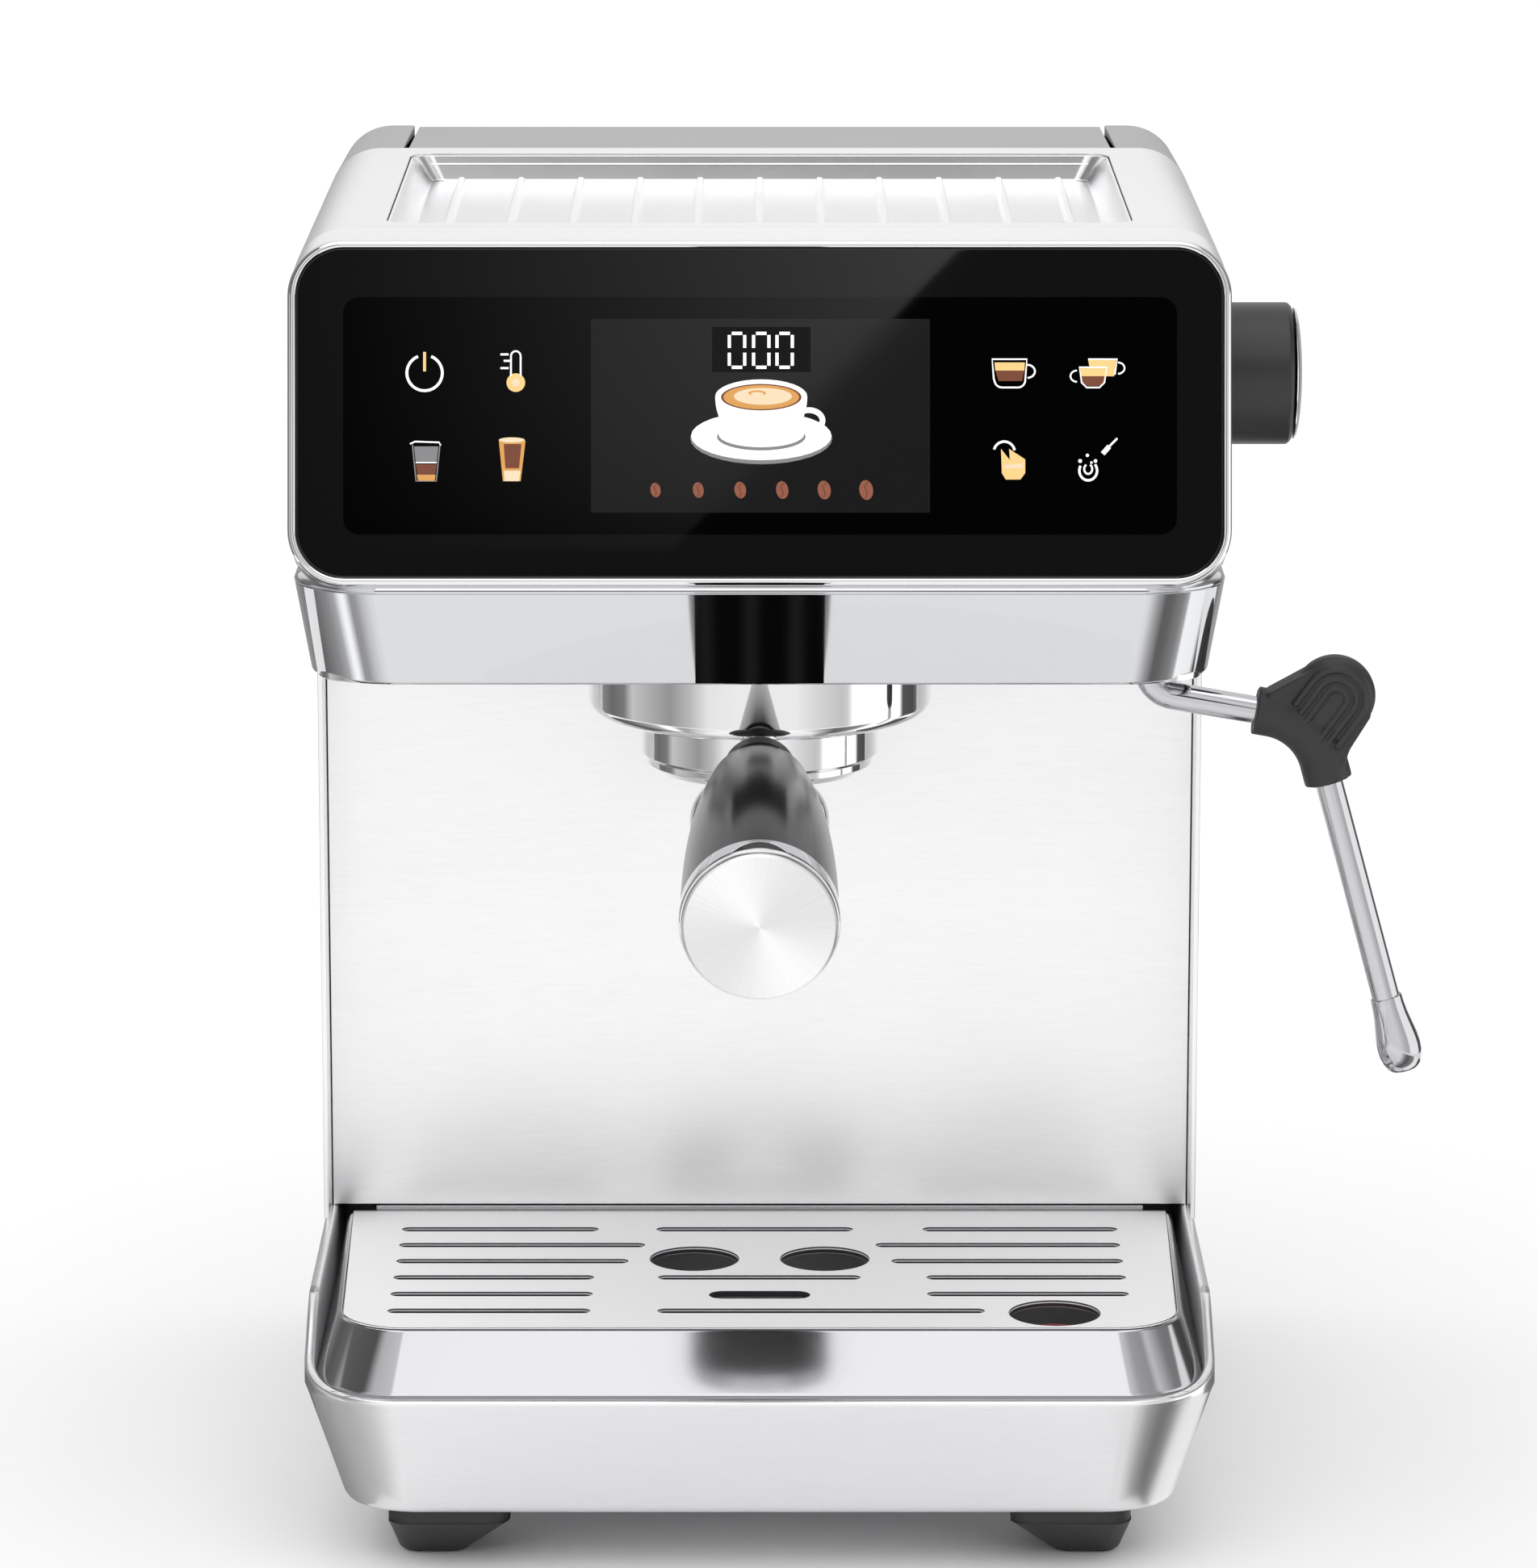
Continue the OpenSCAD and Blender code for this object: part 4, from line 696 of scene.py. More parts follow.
@dataclass
class Base(Assembly):
    """The pressed steel base with its feet."""

    front: float = -6.5
    rear: float = 288.0
    foot_h: float = 18.0
    rim: float = 56.4
    rail: float = 75.0
    wall: float = 3.0
    taper: float = 11.0
    lean: float = 14.5
    radius: float = 27.0
    rise: tuple[float, float] = (12.0, 46.0)
    cuts: tuple[int, ...] = (-2, 2, 7, 12, 16, 20, 24, 28, 32, 36, 40, 44, 46, 50)
    foot_rows: tuple[float, float] = (14.0, 236.0)

    def build(self) -> None:
        """Build every piece of the base."""
        self.shell()
        self.feet()

    def top_line(self, y: float) -> float:
        """Height of the wall's top edge at a depth, rising from the rim to the side rails."""
        start, end = self.rise
        if y < start:
            return self.rim + 3 * max(0.0, (y - self.front) / (start - self.front)) ** 2
        if y < end:
            t = (y - start) / (end - start)
            return self.rim + 3 + (self.rail - self.rim - 3) * (t * t * (3 - 2 * t) * 0.5 + t * 0.5)
        return self.rail

    def shell(self) -> None:
        """Form the open tub: tapered wall, upright rails, floor."""
        half, wall, bm = self.layout.half, self.wall, bmesh.new()

        def ring(z: float, inset: float, drop: float = 0.0) -> BMFace:
            """Outline of the tub at a height, drop 1 for the foot of the leaning wall."""
            return slab_outline(bm, half - self.taper * drop - inset, self.front + self.lean * drop + inset,
                                self.rear - 5 * drop - inset, self.radius - 5 * drop - inset, z, 14)

        foot, rim, rail = self.foot_h, self.rim - 2.5, self.rail
        rings = [ring(foot, 1.6, 1.0), ring(foot + 0.5, 0.5, 1.0), ring(foot + 1.8, 0.0, 0.965),
                 ring(rim, 0.0, 0.04), ring(rim + 1.2, 0.0), ring(rail, 0.0), ring(rail, wall),
                 ring(rim + 1.2, wall), ring(foot + 2, wall, 1.0)]
        tops = set(corners(rings[5:7]))
        join_outlines(bm, rings)
        for y in self.cuts:
            cut = ops.bisect_plane(bm, geom=everything(bm), dist=1e-4, plane_co=(0, y, 0), plane_no=(0, 1, 0))
            tops |= {g for g in cut["geom_cut"] if isinstance(g, BMVert) and abs(g.co.z - rail) < 1e-3}
        for vert in tops:
            if vert.is_valid:
                vert.co.z = self.top_line(vert.co.y)
        round_edges(bm, [e for e in bm.edges if self.is_lip(e, tops)], 1.1, 4)
        block(bm, (2 * (half - wall - 12), 4, rail - foot - 3), (0, 142, (rail + foot + 2) / 2))
        ops.recalc_face_normals(bm, faces=bm.faces)
        for face in bm.faces:
            out = face.calc_center_median() - Vector((0, 140, 0))
            face.material_index = int(out.xy.dot(face.normal.xy) < -1 and abs(face.normal.z) < 0.7)
        self.add("base_tub", bm, "brushed_steel liner", "base_shell", crease=40)

    def is_lip(self, edge: BMEdge, tops: set[BMVert]) -> bool:
        """Whether an edge runs along the wall's top and is sharp enough to round."""
        if not all(vert in tops for vert in edge.verts):
            return False
        run = edge.verts[0].co - edge.verts[1].co
        over = abs(run.x) > self.wall * 0.9 and abs(run.y) < 0.2
        if over and abs(edge.verts[0].co.x) > self.layout.half - 8:
            return False
        return edge.is_manifold and edge.calc_face_angle(0) > math.radians(50)

    def feet(self) -> None:
        """Form the four moulded feet: a narrow sole under a wider pad."""
        bm = bmesh.new()
        for side in (-1, 1):
            for y in self.foot_rows:
                sole, pad = (side * 95.5, y + 24, 10.5, 11.0), (side * 91.0, y + 19, 17.5, 19.0)
                join_outlines(bm, [self.foot_ring(bm, *row) for row in
                                   ((sole, -1.2, 0.0), (sole, 0.0, 1.0), (pad, 0.0, 12.5), (pad, 0.0, 18.0))])
        bevel_sharp(bm, 0.8, 25)
        self.add("rubber_feet", bm, "rubber", "feet")

    def foot_ring(self, bm: BMesh, spot: tuple[float, float, float, float], grow: float, z: float) -> BMFace:
        """One rounded outline of a foot, from its centre and half sizes."""
        x, y, hx, hy = spot
        hx, hy = hx + grow, hy + grow
        return outline(bm, [(x - hx, y - hy), (x + hx, y - hy), (x + hx, y + hy), (x - hx, y + hy)],
                       [6 + grow] * 4, z, 6)


@dataclass
class Tray(Assembly):
    """The drip tray's polished rim and brushed grid."""

    grid_top: float = 73.5
    plate_depth: float = 1.9
    bright_band: tuple[float, float] = (0.42, 0.80)
    finger_slot_y: float = 44.8
    finger_slot: tuple[float, float] = (16.0, 4.6)
    rim_half: float = 129.0
    rim_front: float = -3.0
    rim_rear: float = 138.5
    rim_r: float = 23.5
    rim_low: float = 57.0

    def build(self) -> None:
        """Build the rim and soften the tub and the grid."""
        self.rim()
        self.grid()
        self.dress(("tray_tub", "drip_tray", 0.5, "tray_plastic"),
                   ("level_float", "tray_float", 0.6, "float_red"))

    def grid(self) -> None:
        """Soften the grid and give its cut walls a bright band between dark edges."""
        plate = softened("drip_grid", 0.2)
        plate.normal_update()
        upper, lower = self.bright_band
        for depth in self.bright_band:
            ops.bisect_plane(plate, geom=everything(plate), dist=1e-6,
                             plane_co=(0, 0, (self.grid_top - depth) * MM), plane_no=(0, 0, 1))
        slot = self.layout.place() @ Vector((0, self.finger_slot_y, 0))
        for face in plate.faces:
            off = (face.calc_center_median() - slot) / MM
            depth = self.grid_top - off.z
            if abs(face.normal.z) < 0.95 and depth < self.plate_depth:
                finger = abs(off.x) < self.finger_slot[0] and abs(off.y) < self.finger_slot[1]
                face.material_index = 2 if upper < depth < lower and not finger else 1
        self.add("grid_plate", plate, "grid_steel cut_steel cut_face", "drip_grid", Matrix.Identity(4))

    def rim(self) -> None:
        """Form the sloping polished rim round the grid."""
        bm = bmesh.new()
        low, top = self.rim_low, self.grid_top

        def ring(t: float, inset: float, z: float) -> BMFace:
            """Outline of the rim, t 0 at the foot of its slope and 1 at the top."""
            half = self.rim_half - inset
            return slab_outline(bm, half - 6.0 * t, self.rim_front + 12 * t + inset, self.rim_rear - inset,
                                self.rim_r - 3 * t - inset * 0.8, z, 14, half - 3.0 * t, 0.5)

        join_outlines(bm, [ring(*row) for row in (
            (0, 0, low), (0.03, 0, low + 0.8), (0.94, 0, top - 0.9), (1, 0.35, top - 0.2), (1, 1.0, top),
            (1, 1.5, top), (1, 1.55, top - 2), (1, 4.5, top - 2), (1, 4.5, top - 3.4),
            (0, 2.4, low + 0.5))], closed=True)
        self.add("polished_rim", bm, "rim_steel", "tray_rim", crease=50)


# ---------------------------------------------------------------- head

@dataclass
class Head(Assembly):
    """The head: chin, front frame, bezel, glass, casing and cup shelf."""

    shelf_half: float = 106.5
    shelf_front: float = 42.0
    shelf_rear: float = 200.0
    shelf_z: float = 383.0
    ribs: int = 11
    pitch: float = 18.2
    rib_w: float = 3.8
    rib_h: float = 2.0
    rib_taper: float = 0.42
    chin_half: float = 131.9
    chin_front: float = -9.7
    chin_rear: float = 122.4
    chin_r: float = 25.0
    chin_wall: float = 1.6

    def build(self) -> None:
        """Build every piece of the head."""
        self.chin()
        self.bezel()
        self.glass()
        self.shelf()
        self.dress(("casing_wrap", "body_casing", 0.5, "top_steel"),
                   ("frame_hood", "front_frame", 0.3, "top_steel"),
                   ("cap_left", "rear_cap_left", 0.6, "grey_plastic"),
                   ("cap_right", "rear_cap_right", 0.6, "grey_plastic"),
                   ("lid_plate", "tank_lid", 0.6, "grey_plastic"),
                   ("splash_sheet", "splash_panel", 0.2, "splash_steel"))

    def chin(self) -> None:
        """Form the polished chin under the glass, leaning back towards its lower edge."""
        bm = bmesh.new()
        top, low = self.layout.chin_top, self.layout.chin_low

        def ring(t: float, z: float, inset: float) -> BMFace:
            """Outline of the chin, t 0 at its upper edge and 1 at the lower one."""
            return slab_outline(bm, self.chin_half - 4.0 * t - inset, self.chin_front + 10.7 * t + inset, 160,
                                self.chin_r - inset, z, 16)

        join_outlines(bm, [ring(*row) for row in (
            (1, low, 0.9), (1, low + 0.35, 0.25), (0.97, low + 1.0, 0), (0, top - 0.25, 0),
            (0, top - 0.15, 0.3), (0, top, 0.3), (0, top + 0.15, 0.05), (0, top + 0.5, -0.15),
            (0, top + 1.3, 0.15), (0, top + 2.1, 0.8), (0, top + 2.9, 2.4))])
        ops.delete(bm, geom=[f for f in bm.faces if len(f.verts) > 8], context="FACES_ONLY")
        ops.bisect_plane(bm, geom=everything(bm), dist=1e-4, plane_co=(0, self.chin_rear, 0),
                         plane_no=(0, 1, 0), clear_outer=True)
        ops.recalc_face_normals(bm, faces=bm.faces)
        ops.solidify(bm, geom=list(bm.faces), thickness=self.chin_wall)
        self.add("polished_chin", bm, "chin_steel", "chin_fascia", crease=60)

    def bezel(self) -> None:
        """Form the bright ring that holds the glass."""
        bm, lay = bmesh.new(), self.layout
        tall, radius = lay.glass_h / 2 + lay.bezel_w, lay.glass_r + lay.bezel_w
        profile = ((0, -5.0), (0, -1.4), (0.25, -0.5), (0.8, 0.2), (1.4, 0.5), (1.9, 0.45), (2.3, 0.15),
                   (2.4, -0.4), (2.4, -3.0), (5.4, -3.0), (5.4, -5.0))
        rings = [slab_outline(bm, lay.half - inset, -tall + inset, tall - inset, radius - inset, z, 16)
                 for inset, z in profile]
        join_outlines(bm, rings, closed=True)
        self.add("bright_bezel", bm, "chrome", "bezel", lay.panel(), 60)

    def glass(self) -> None:
        """Form the front glass, its inner window and the screen as printed fields."""
        bm, lay = bmesh.new(), self.layout
        half, tall = lay.half - lay.bezel_w - 0.1, lay.glass_h / 2 - 0.1
        rings = [slab_outline(bm, half - inset, -tall + inset, tall - inset, lay.glass_r - inset, z, 16)
                 for inset, z in ((0, -3.0), (0, -0.45), (0.15, -0.12), (0.45, 0.0))]
        join_outlines(bm, rings)
        self.add("black_glass", bm, "glass_black", "front_glass", lay.panel(), 60)
        art = Artwork(lay, self.palette, self.bodies, self.slots)
        art.field("window_black", "glass_window", (425, 368, 1458, 662), 4.6, 0.02)
        art.field("screen_black", "glass_screen", (732, 395, 1152, 635), 0.3, 0.04)
        art.field("print_dark", "digit_field", (882, 405, 1004, 461), 0.1, 0.05)

    def shelf(self) -> None:
        """Press the cup shelf into the top, with its ribs, and a darker floor as painted shade."""
        bm = bmesh.new()
        half, front, rear, floor = self.shelf_half, self.shelf_front, self.shelf_rear, self.shelf_z
        rings = [slab_outline(bm, half - side, front + near, rear - far, radius, z, 8)
                 for side, near, far, z, radius in (
                     (-4, -4, -4, 388.6, 8), (0.3, 0.3, 0.3, 388.9, 6.7), (0.35, 0.35, 0.3, 390.4, 6.6),
                     (1.2, 1.0, 0.5, 390.2, 6.3), (5.9, 5.0, 2.2, floor + 0.5, 4.6),
                     (6.6, 5.7, 2.6, floor, 4.0))]
        join_outlines(bm, rings)
        caps = sorted((f for f in bm.faces if len(f.verts) > 20), key=lambda f: f.calc_center_median().z)
        ops.delete(bm, geom=caps[1:], context="FACES_ONLY")
        ops.recalc_face_normals(bm, faces=bm.faces)
        if caps[0].normal.z < 0:
            ops.reverse_faces(bm, faces=bm.faces)
        ops.solidify(bm, geom=list(bm.faces), thickness=1.2)
        for index in range(self.ribs):
            self.shelf_rib(bm, (index - (self.ribs - 1) / 2) * self.pitch)
        # The floor takes the darker steel, painted shade in the recess; the ribs and walls keep the casing
        # steel
        for face in bm.faces:
            face.material_index = int(face.calc_center_median().z < floor + 0.2)
        self.add("ribbed_shelf", bm, "top_steel shelf_steel", "cup_shelf", crease=50)

    def shelf_rib(self, bm: BMesh, x: float) -> None:
        """Raise one tapered rib on the shelf's floor."""
        front, rear, floor = self.shelf_front, self.shelf_rear, self.shelf_z
        verts = block(bm, (self.rib_w, rear - front - 15, self.rib_h),
                      (x, (front + rear) / 2 + 2.5, floor + 0.6))
        tops = [v for v in verts if v.co.z > floor + 1]
        for vert in tops:
            vert.co.x = x + (vert.co.x - x) * self.rib_taper
            vert.co.y += 1.4 if vert.co.y < 100 else -1.4
        sides = {e for v in tops for e in v.link_edges if all(w in tops for w in e.verts)}
        round_edges(bm, list(sides), 0.5, 3)


# ---------------------------------------------------------------- panel artwork

@dataclass
class Artwork(Assembly):
    """Flat generic signs printed on the glass, drawn at positions of a front drawing."""

    scale: float = 4.419
    centre: tuple[float, float] = (941.0, 511.5)
    sheets: dict[str, BMesh] = field(default_factory=dict)

    def at(self, u: float, v: float) -> Point:
        """Millimetres on the glass of a position in the drawing."""
        return (u - self.centre[0]) / self.scale, (self.centre[1] - v) / self.scale

    def sheet(self, ink: str) -> BMesh:
        """Mesh that collects all shapes of one ink."""
        return self.sheets.setdefault(f"print_{ink}", bmesh.new())

    def field(self, finish: str, name: str, box: tuple[float, ...], radius: float, lift: float) -> None:
        """Lay a rounded field on the glass.

        Args:
            finish: Key of its finish.
            name: The piece's name.
            box: Left, top, right and bottom in the drawing.
            radius: Corner radius in millimetres.
            lift: Height above the glass in millimetres.
        """
        x0, y1 = self.at(box[0], box[1])
        x1, y0 = self.at(box[2], box[3])
        bm = bmesh.new()
        outline(bm, [(x0, y0), (x1, y0), (x1, y1), (x0, y1)], [radius] * 4, lift, 8)
        piece(name, bm, [self.palette[finish]], self.layout.panel(), "root", "black_glass", weigh=False)

    def polygon(self, ink: str, points: Iterable[Point], lift: float) -> None:
        """Lay a flat polygon."""
        bm = self.sheet(ink)
        ops.contextual_create(bm, geom=[bm.verts.new((*self.at(u, v), lift)) for u, v in points])

    def disc(self, ink: str, u: float, v: float, rx: float, ry: float, lift: float = 0.1,
             turn: float = 0.0) -> None:
        """Lay an ellipse, radii in the drawing's units and turn in degrees."""
        x, y = self.at(u, v)
        shape = (Matrix.Translation((x, y, lift)) @ Matrix.Rotation(math.radians(turn), 4, "Z")
                 @ Matrix.Diagonal((rx / self.scale, ry / self.scale, 1, 1)))
        ops.create_circle(self.sheet(ink), cap_ends=True, segments=32, radius=1, matrix=shape)

    def stroke(self, ink: str, points: Sequence[Point], width: float, lift: float = 0.12,
               closed: bool = False) -> None:
        """Draw a line of even width.

        Args:
            ink: Name of the ink.
            points: Positions along the line.
            width: Width in the drawing's units.
            lift: Height above the glass.
            closed: Whether the line returns to its start.
        """
        bm = self.sheet(ink)
        spots = [Vector(self.at(u, v)) for u, v in points]
        count = len(spots)
        edges: list[BMEdge] = []
        for index, spot in enumerate(spots):
            before = spots[(index - 1) % count] if closed or index else spot
            after = spots[(index + 1) % count] if closed or index < count - 1 else spot
            along = (after - before).normalized()
            side = Vector((-along.y, along.x)) * width / self.scale / 2
            edges.append(bm.edges.new([bm.verts.new((*(spot + way), lift)) for way in (side, -side)]))
        for index in range(count if closed else count - 1):
            ops.contextual_create(bm, geom=[edges[index], edges[(index + 1) % count]])

    def finish(self) -> None:
        """Turn every collected sheet into a piece that faces out of the glass."""
        normal = self.layout.panel().to_3x3() @ Vector((0, 0, 1))
        for key, bm in self.sheets.items():
            obj = piece(f"sign_{key}", bm, [self.palette[key]], self.layout.panel(), "root", "screen",
                        weigh=False)
            if obj.data.polygons and obj.data.polygons[0].normal.dot(normal) < 0:
                obj.data.flip_normals()


def arc(u: float, v: float, rx: float, ry: float, start: float, end: float, steps: int) -> list[Point]:
    """Points of an arc, angles in degrees, 0 to the right and 90 up."""
    angles = [math.radians(start + (end - start) * i / steps) for i in range(steps + 1)]
    return [(u + rx * math.cos(a), v - ry * math.sin(a)) for a in angles]


@dataclass
class Signs(Artwork):
    """The generic pictograms on the panel."""

    def build(self) -> None:
        """Draw every sign."""
        self.power()
        self.thermometer()
        self.short_glass()
        self.tall_glass()
        self.single_cup(1252, 463)
        self.double_cup()
        self.hot_water()
        self.cleaning()
        self.digits()
        self.cup_and_saucer()
        self.beans()
        self.finish()

    def power(self) -> None:
        """Draw the open ring with its bar."""
        self.stroke("white", arc(526, 462, 22, 22, 112, 428, 32), 3.4)
        self.stroke("gold", [(526, 436), (526, 460)], 3.6)

    def thermometer(self) -> None:
        """Draw a thermometer with three marks."""
        self.stroke("white", [(633, 466), (633, 441), *arc(639, 441, 6, 6, 180, 0, 8), (645, 466)], 2.2)
        self.disc("gold", 639, 474, 11.5, 11.5)
        self.disc("cream", 639, 474, 5, 5, 0.14)
        for v, u in ((439, 620), (447, 624), (456, 620)):
            self.stroke("white", [(u, v), (u + 10, v)], 2.6)

    def short_glass(self) -> None:
        """Draw a short glass, half full."""
        self.stroke("white", [(508, 550), (514, 547), (544, 548), (546, 552)], 2.0)
        self.stroke("grey", [(511, 551), (515.5, 596), (540.5, 596), (545, 551)], 1.6, 0.16)
        self.polygon("grey", [(513, 553), (543, 553), (541, 572), (515, 572)], 0.09)
        self.polygon("brown", [(515, 575), (541, 575), (539, 588), (517, 588)], 0.11)
        self.polygon("amber", [(516.5, 588), (539.5, 588), (538.5, 596), (518, 596)], 0.11)
        self.stroke("white", [(515, 573), (541, 573)], 1.6)

    def tall_glass(self) -> None:
        """Draw a tall glass of milk coffee."""
        self.polygon("amber", [(618, 546), (651, 546), (645, 596), (623, 596)], 0.09)
        self.polygon("brown", [(624, 550), (646, 550), (643, 580), (626, 580)], 0.11)
        self.disc("cream", 634, 545, 16, 3.2, 0.13)
        self.polygon("cream", [(624, 583), (645, 583), (643, 596), (625, 596)], 0.1)

    def single_cup(self, u: float, v: float) -> None:
        """Draw a glass cup of coffee with its handle."""
        wall = [(u - 23, v - 18), (u - 21, v + 6), *arc(u - 11, v + 8, 9, 9, 190, 270, 5),
                *arc(u + 9, v + 8, 9, 9, 270, 350, 5), (u + 20, v - 18)]
        self.stroke("white", wall, 2.2, 0.16, closed=True)
        self.stroke("white", arc(u + 21, v - 3, 9, 8, 100, -90, 12), 2.2)
        self.polygon("gold", [(u - 20, v - 14), (u + 17.5, v - 14), (u + 17, v - 4), (u - 19, v - 4)], 0.1)
        self.polygon("brown", [(u - 19, v - 4), (u + 17, v - 4), (u + 14, v + 9), (u - 15, v + 9)], 0.1)

    def double_cup(self) -> None:
        """Draw two cups, one before the other."""
        self.polygon("gold", [(1348, 446), (1383, 446), (1380, 466), (1352, 466)], 0.08)
        self.stroke("white", [(1348, 445), (1384, 445), (1381, 464)], 2.0)
        self.stroke("white", arc(1385, 456, 8, 7, 90, -90, 10), 2.0)
        self.stroke("white", arc(1334, 466, 8, 7, 90, 270, 10), 2.0)
        u, v = 1355, 466
        self.polygon("gold", [(u - 17, v - 10), (u + 15, v - 10), (u + 14, v), (u - 16, v)], 0.11)
        self.polygon("brown", [(u - 16, v), (u + 14, v), (u + 10, v + 12), (u - 12, v + 12)], 0.11)
        self.stroke("white", [(u - 18, v - 11), (u - 15, v + 8), (u - 9, v + 14), (u + 7, v + 14),
                              (u + 13, v + 8), (u + 16, v - 11)], 2.0, 0.16, closed=True)

    def hot_water(self) -> None:
        """Draw a spout's arc over a gold cup."""
        self.stroke("white", arc(1244, 560, 13, 13, 165, 10, 14), 3.0)
        self.polygon("gold", [(1240, 556), (1250, 556), (1251, 570), (1270, 569), (1270, 586), (1264, 594),
                              (1246, 594), (1241, 586)], 0.1)
        self.polygon("cream", [(1244, 576), (1268, 574), (1267, 580), (1244, 580)], 0.13)

    def cleaning(self) -> None:
        """Draw a brush over a bowl with drops."""
        self.stroke("white", [(1366, 562), (1374, 553)], 6.0)
        self.stroke("white", [(1374, 553), (1384, 543)], 2.6)
        self.stroke("white", arc(1348, 583, 11, 12, 150, 400, 24), 3.0)
        self.stroke("white", arc(1348, 581, 5, 6, 120, 420, 16), 2.4)
        for u, v, r in ((1338, 571, 2.4), (1347, 564, 2.0), (1357, 571, 2.2), (1352, 573, 1.6)):
            self.disc("white", u, v, r, r)

    def digits(self) -> None:
        """Draw three noughts from straight segments."""
        for u in (913, 943, 972):
            for v0, v1 in ((415, 431), (437, 453)):
                for side in (-9.5, 9.5):
                    self.stroke("white", [(u + side, v0), (u + side, v1)], 4.0)
            for v in (413, 455):
                self.stroke("white", [(u - 6.5, v), (u + 6.5, v)], 4.0)

    def cup_and_saucer(self) -> None:
        """Draw a plain cup of milk coffee on its saucer."""
        for row in (("grey", 943, 543, 88, 32, 0.06), ("white", 943, 540, 87, 30, 0.07),
                    ("grey", 943, 541, 55, 17, 0.08), ("white", 943, 538, 53, 16, 0.09)):
            self.disc(*row)
        self.stroke("white", arc(1002, 521, 17, 13, 120, -120, 16), 7.0, 0.1)
        self.polygon("white", [(886, 492), *arc(943, 492, 57, 62, 188, 352, 24), (1000, 492)], 0.11)
        for row in (("white", 943, 491, 57, 21, 0.12), ("brown", 943, 492, 50, 16.5, 0.13),
                    ("amber", 943, 492, 47, 15, 0.14), ("cream", 945, 491, 36, 10.5, 0.15),
                    ("amber", 938, 487, 11, 3.4, 0.16), ("cream", 938, 488, 8, 2.4, 0.17)):
            self.disc(*row)

    def beans(self) -> None:
        """Draw six coffee beans that grow from left to right."""
        for index, u in enumerate((812, 865, 917, 969, 1021, 1073)):
            size = 0.82 + 0.06 * index
            self.disc("bean", u, 607, 7.6 * size, 11 * size, 0.1, 8)
            crack = [(u + 2, 607 - 9 * size), (u - 2, 603), (u + 1.5, 611), (u - 1, 607 + 9 * size)]
            self.stroke("brown", crack, 1.8, 0.14)


# ---------------------------------------------------------------- portafilter

@dataclass
class Portafilter(Assembly):
    """The portafilter: bowl, spouts and the long grip with its end disc."""

    neck: float = 6.0
    grip_near: float = 14.0
    grip_far: float = 21.6
    grip_sag: float = 3.9
    grip_swell: float = 2.3
    end_gap: float = 12.5
    disc_r: float = 21.3

    def build(self) -> None:
        """Build the pieces of the portafilter."""
        self.dress(("bowl_shell", "portafilter_bowl", 0.4, "chrome"),
                   ("spout_pair", "twin_spout", 0.3, "chrome"))
        self.grip()
        self.end_disc()

    def turned(self, name: str, profile: Sequence[Point], finish: str, node: str, steps: int = 96) -> Object:
        """Add a piece turned about the handle's axis."""
        bm = bmesh.new()
        spun(bm, profile, steps)
        return self.add(name, bm, finish, node, self.layout.handle())

    def grip(self) -> None:
        """Turn the grip, ring and ferrule of the handle."""
        neck, near, far = self.neck, self.grip_near, self.grip_far
        length = self.layout.handle_len - self.end_gap
        curve = [(self.radius(i / 40), neck + length * i / 40) for i in range(1, 41)]
        bm = bmesh.new()
        spun(bm, [(near - 4.5, neck), (near - 2.2, neck + 0.5), (near - 0.8, neck + 1.6), *curve])
        for vert in bm.verts:
            back = max(0.0, 1 - (vert.co.z - neck) / length)
            vert.co.y -= self.grip_sag * back * back
        self.add("grip_moulding", bm, "grip_black", "handle_grip", self.layout.handle(), 40)
        start = neck + length
        self.turned("grip_ring", [(far - 1.0, start - 4), (far - 1.0, start - 3.6), (far - 0.2, start - 3.4),
                                  (far + 0.3, start - 2.9), (far + 0.35, start + 3.2), (far, start + 4.0),
                                  (far - 0.6, start + 4.2)], "chrome", "handle_ring")
        self.turned("grip_ferrule", [(8.6, 0), (9.9, 0.7), (10.4, 1.6), (10.4, neck)], "black_plastic",
                    "handle_ferrule")

    def radius(self, t: float) -> float:
        """Radius of the grip at a share of its length."""
        return self.grip_far - (self.grip_far - self.grip_near) * (1 - t) ** self.grip_swell

    def end_disc(self) -> None:
        """Turn the end disc and lay round brush lines on its face, where its finish also paints highlight
        wedges.
        """
        top, r = self.layout.handle_len, self.disc_r
        obj = self.turned("end_disc", [(r, top - 2.5), (r, top - 0.9), (r - 0.25, top - 0.35), (r - 0.8, top),
                                       (14.0, top), (8.0, top), (3.0, top)], "spun_steel", "handle_end", 128)
        self.round_uv(obj, self.layout.handle())
        tree = obj.data.materials[0].node_tree
        tangent = tree.nodes.new("ShaderNodeTangent")
        tangent.direction_type = "UV_MAP"
        tangent.uv_map = ROUND_UV
        tree.links.new(tangent.outputs[0], tree.nodes["Principled BSDF"].inputs["Tangent"])

    def round_uv(self, obj: Object, matrix: Matrix) -> None:
        """Give a disc about the matrix's Z axis a UV map whose U runs round it."""
        layer = obj.data.uv_layers.new(name=ROUND_UV)
        inverse = matrix.inverted()
        for polygon in obj.data.polygons:
            middle = inverse @ polygon.center
            base = math.atan2(middle.y, middle.x)
            for loop in polygon.loop_indices:
                spot = inverse @ obj.data.vertices[obj.data.loops[loop].vertex_index].co
                turn = math.atan2(spot.y, spot.x) if spot.xy.length > 0.1 else base
                turn += math.tau * round((base - turn) / math.tau)
                layer.data[loop].uv = (turn / math.tau, spot.xy.length / 25)


# ---------------------------------------------------------------- steam wand

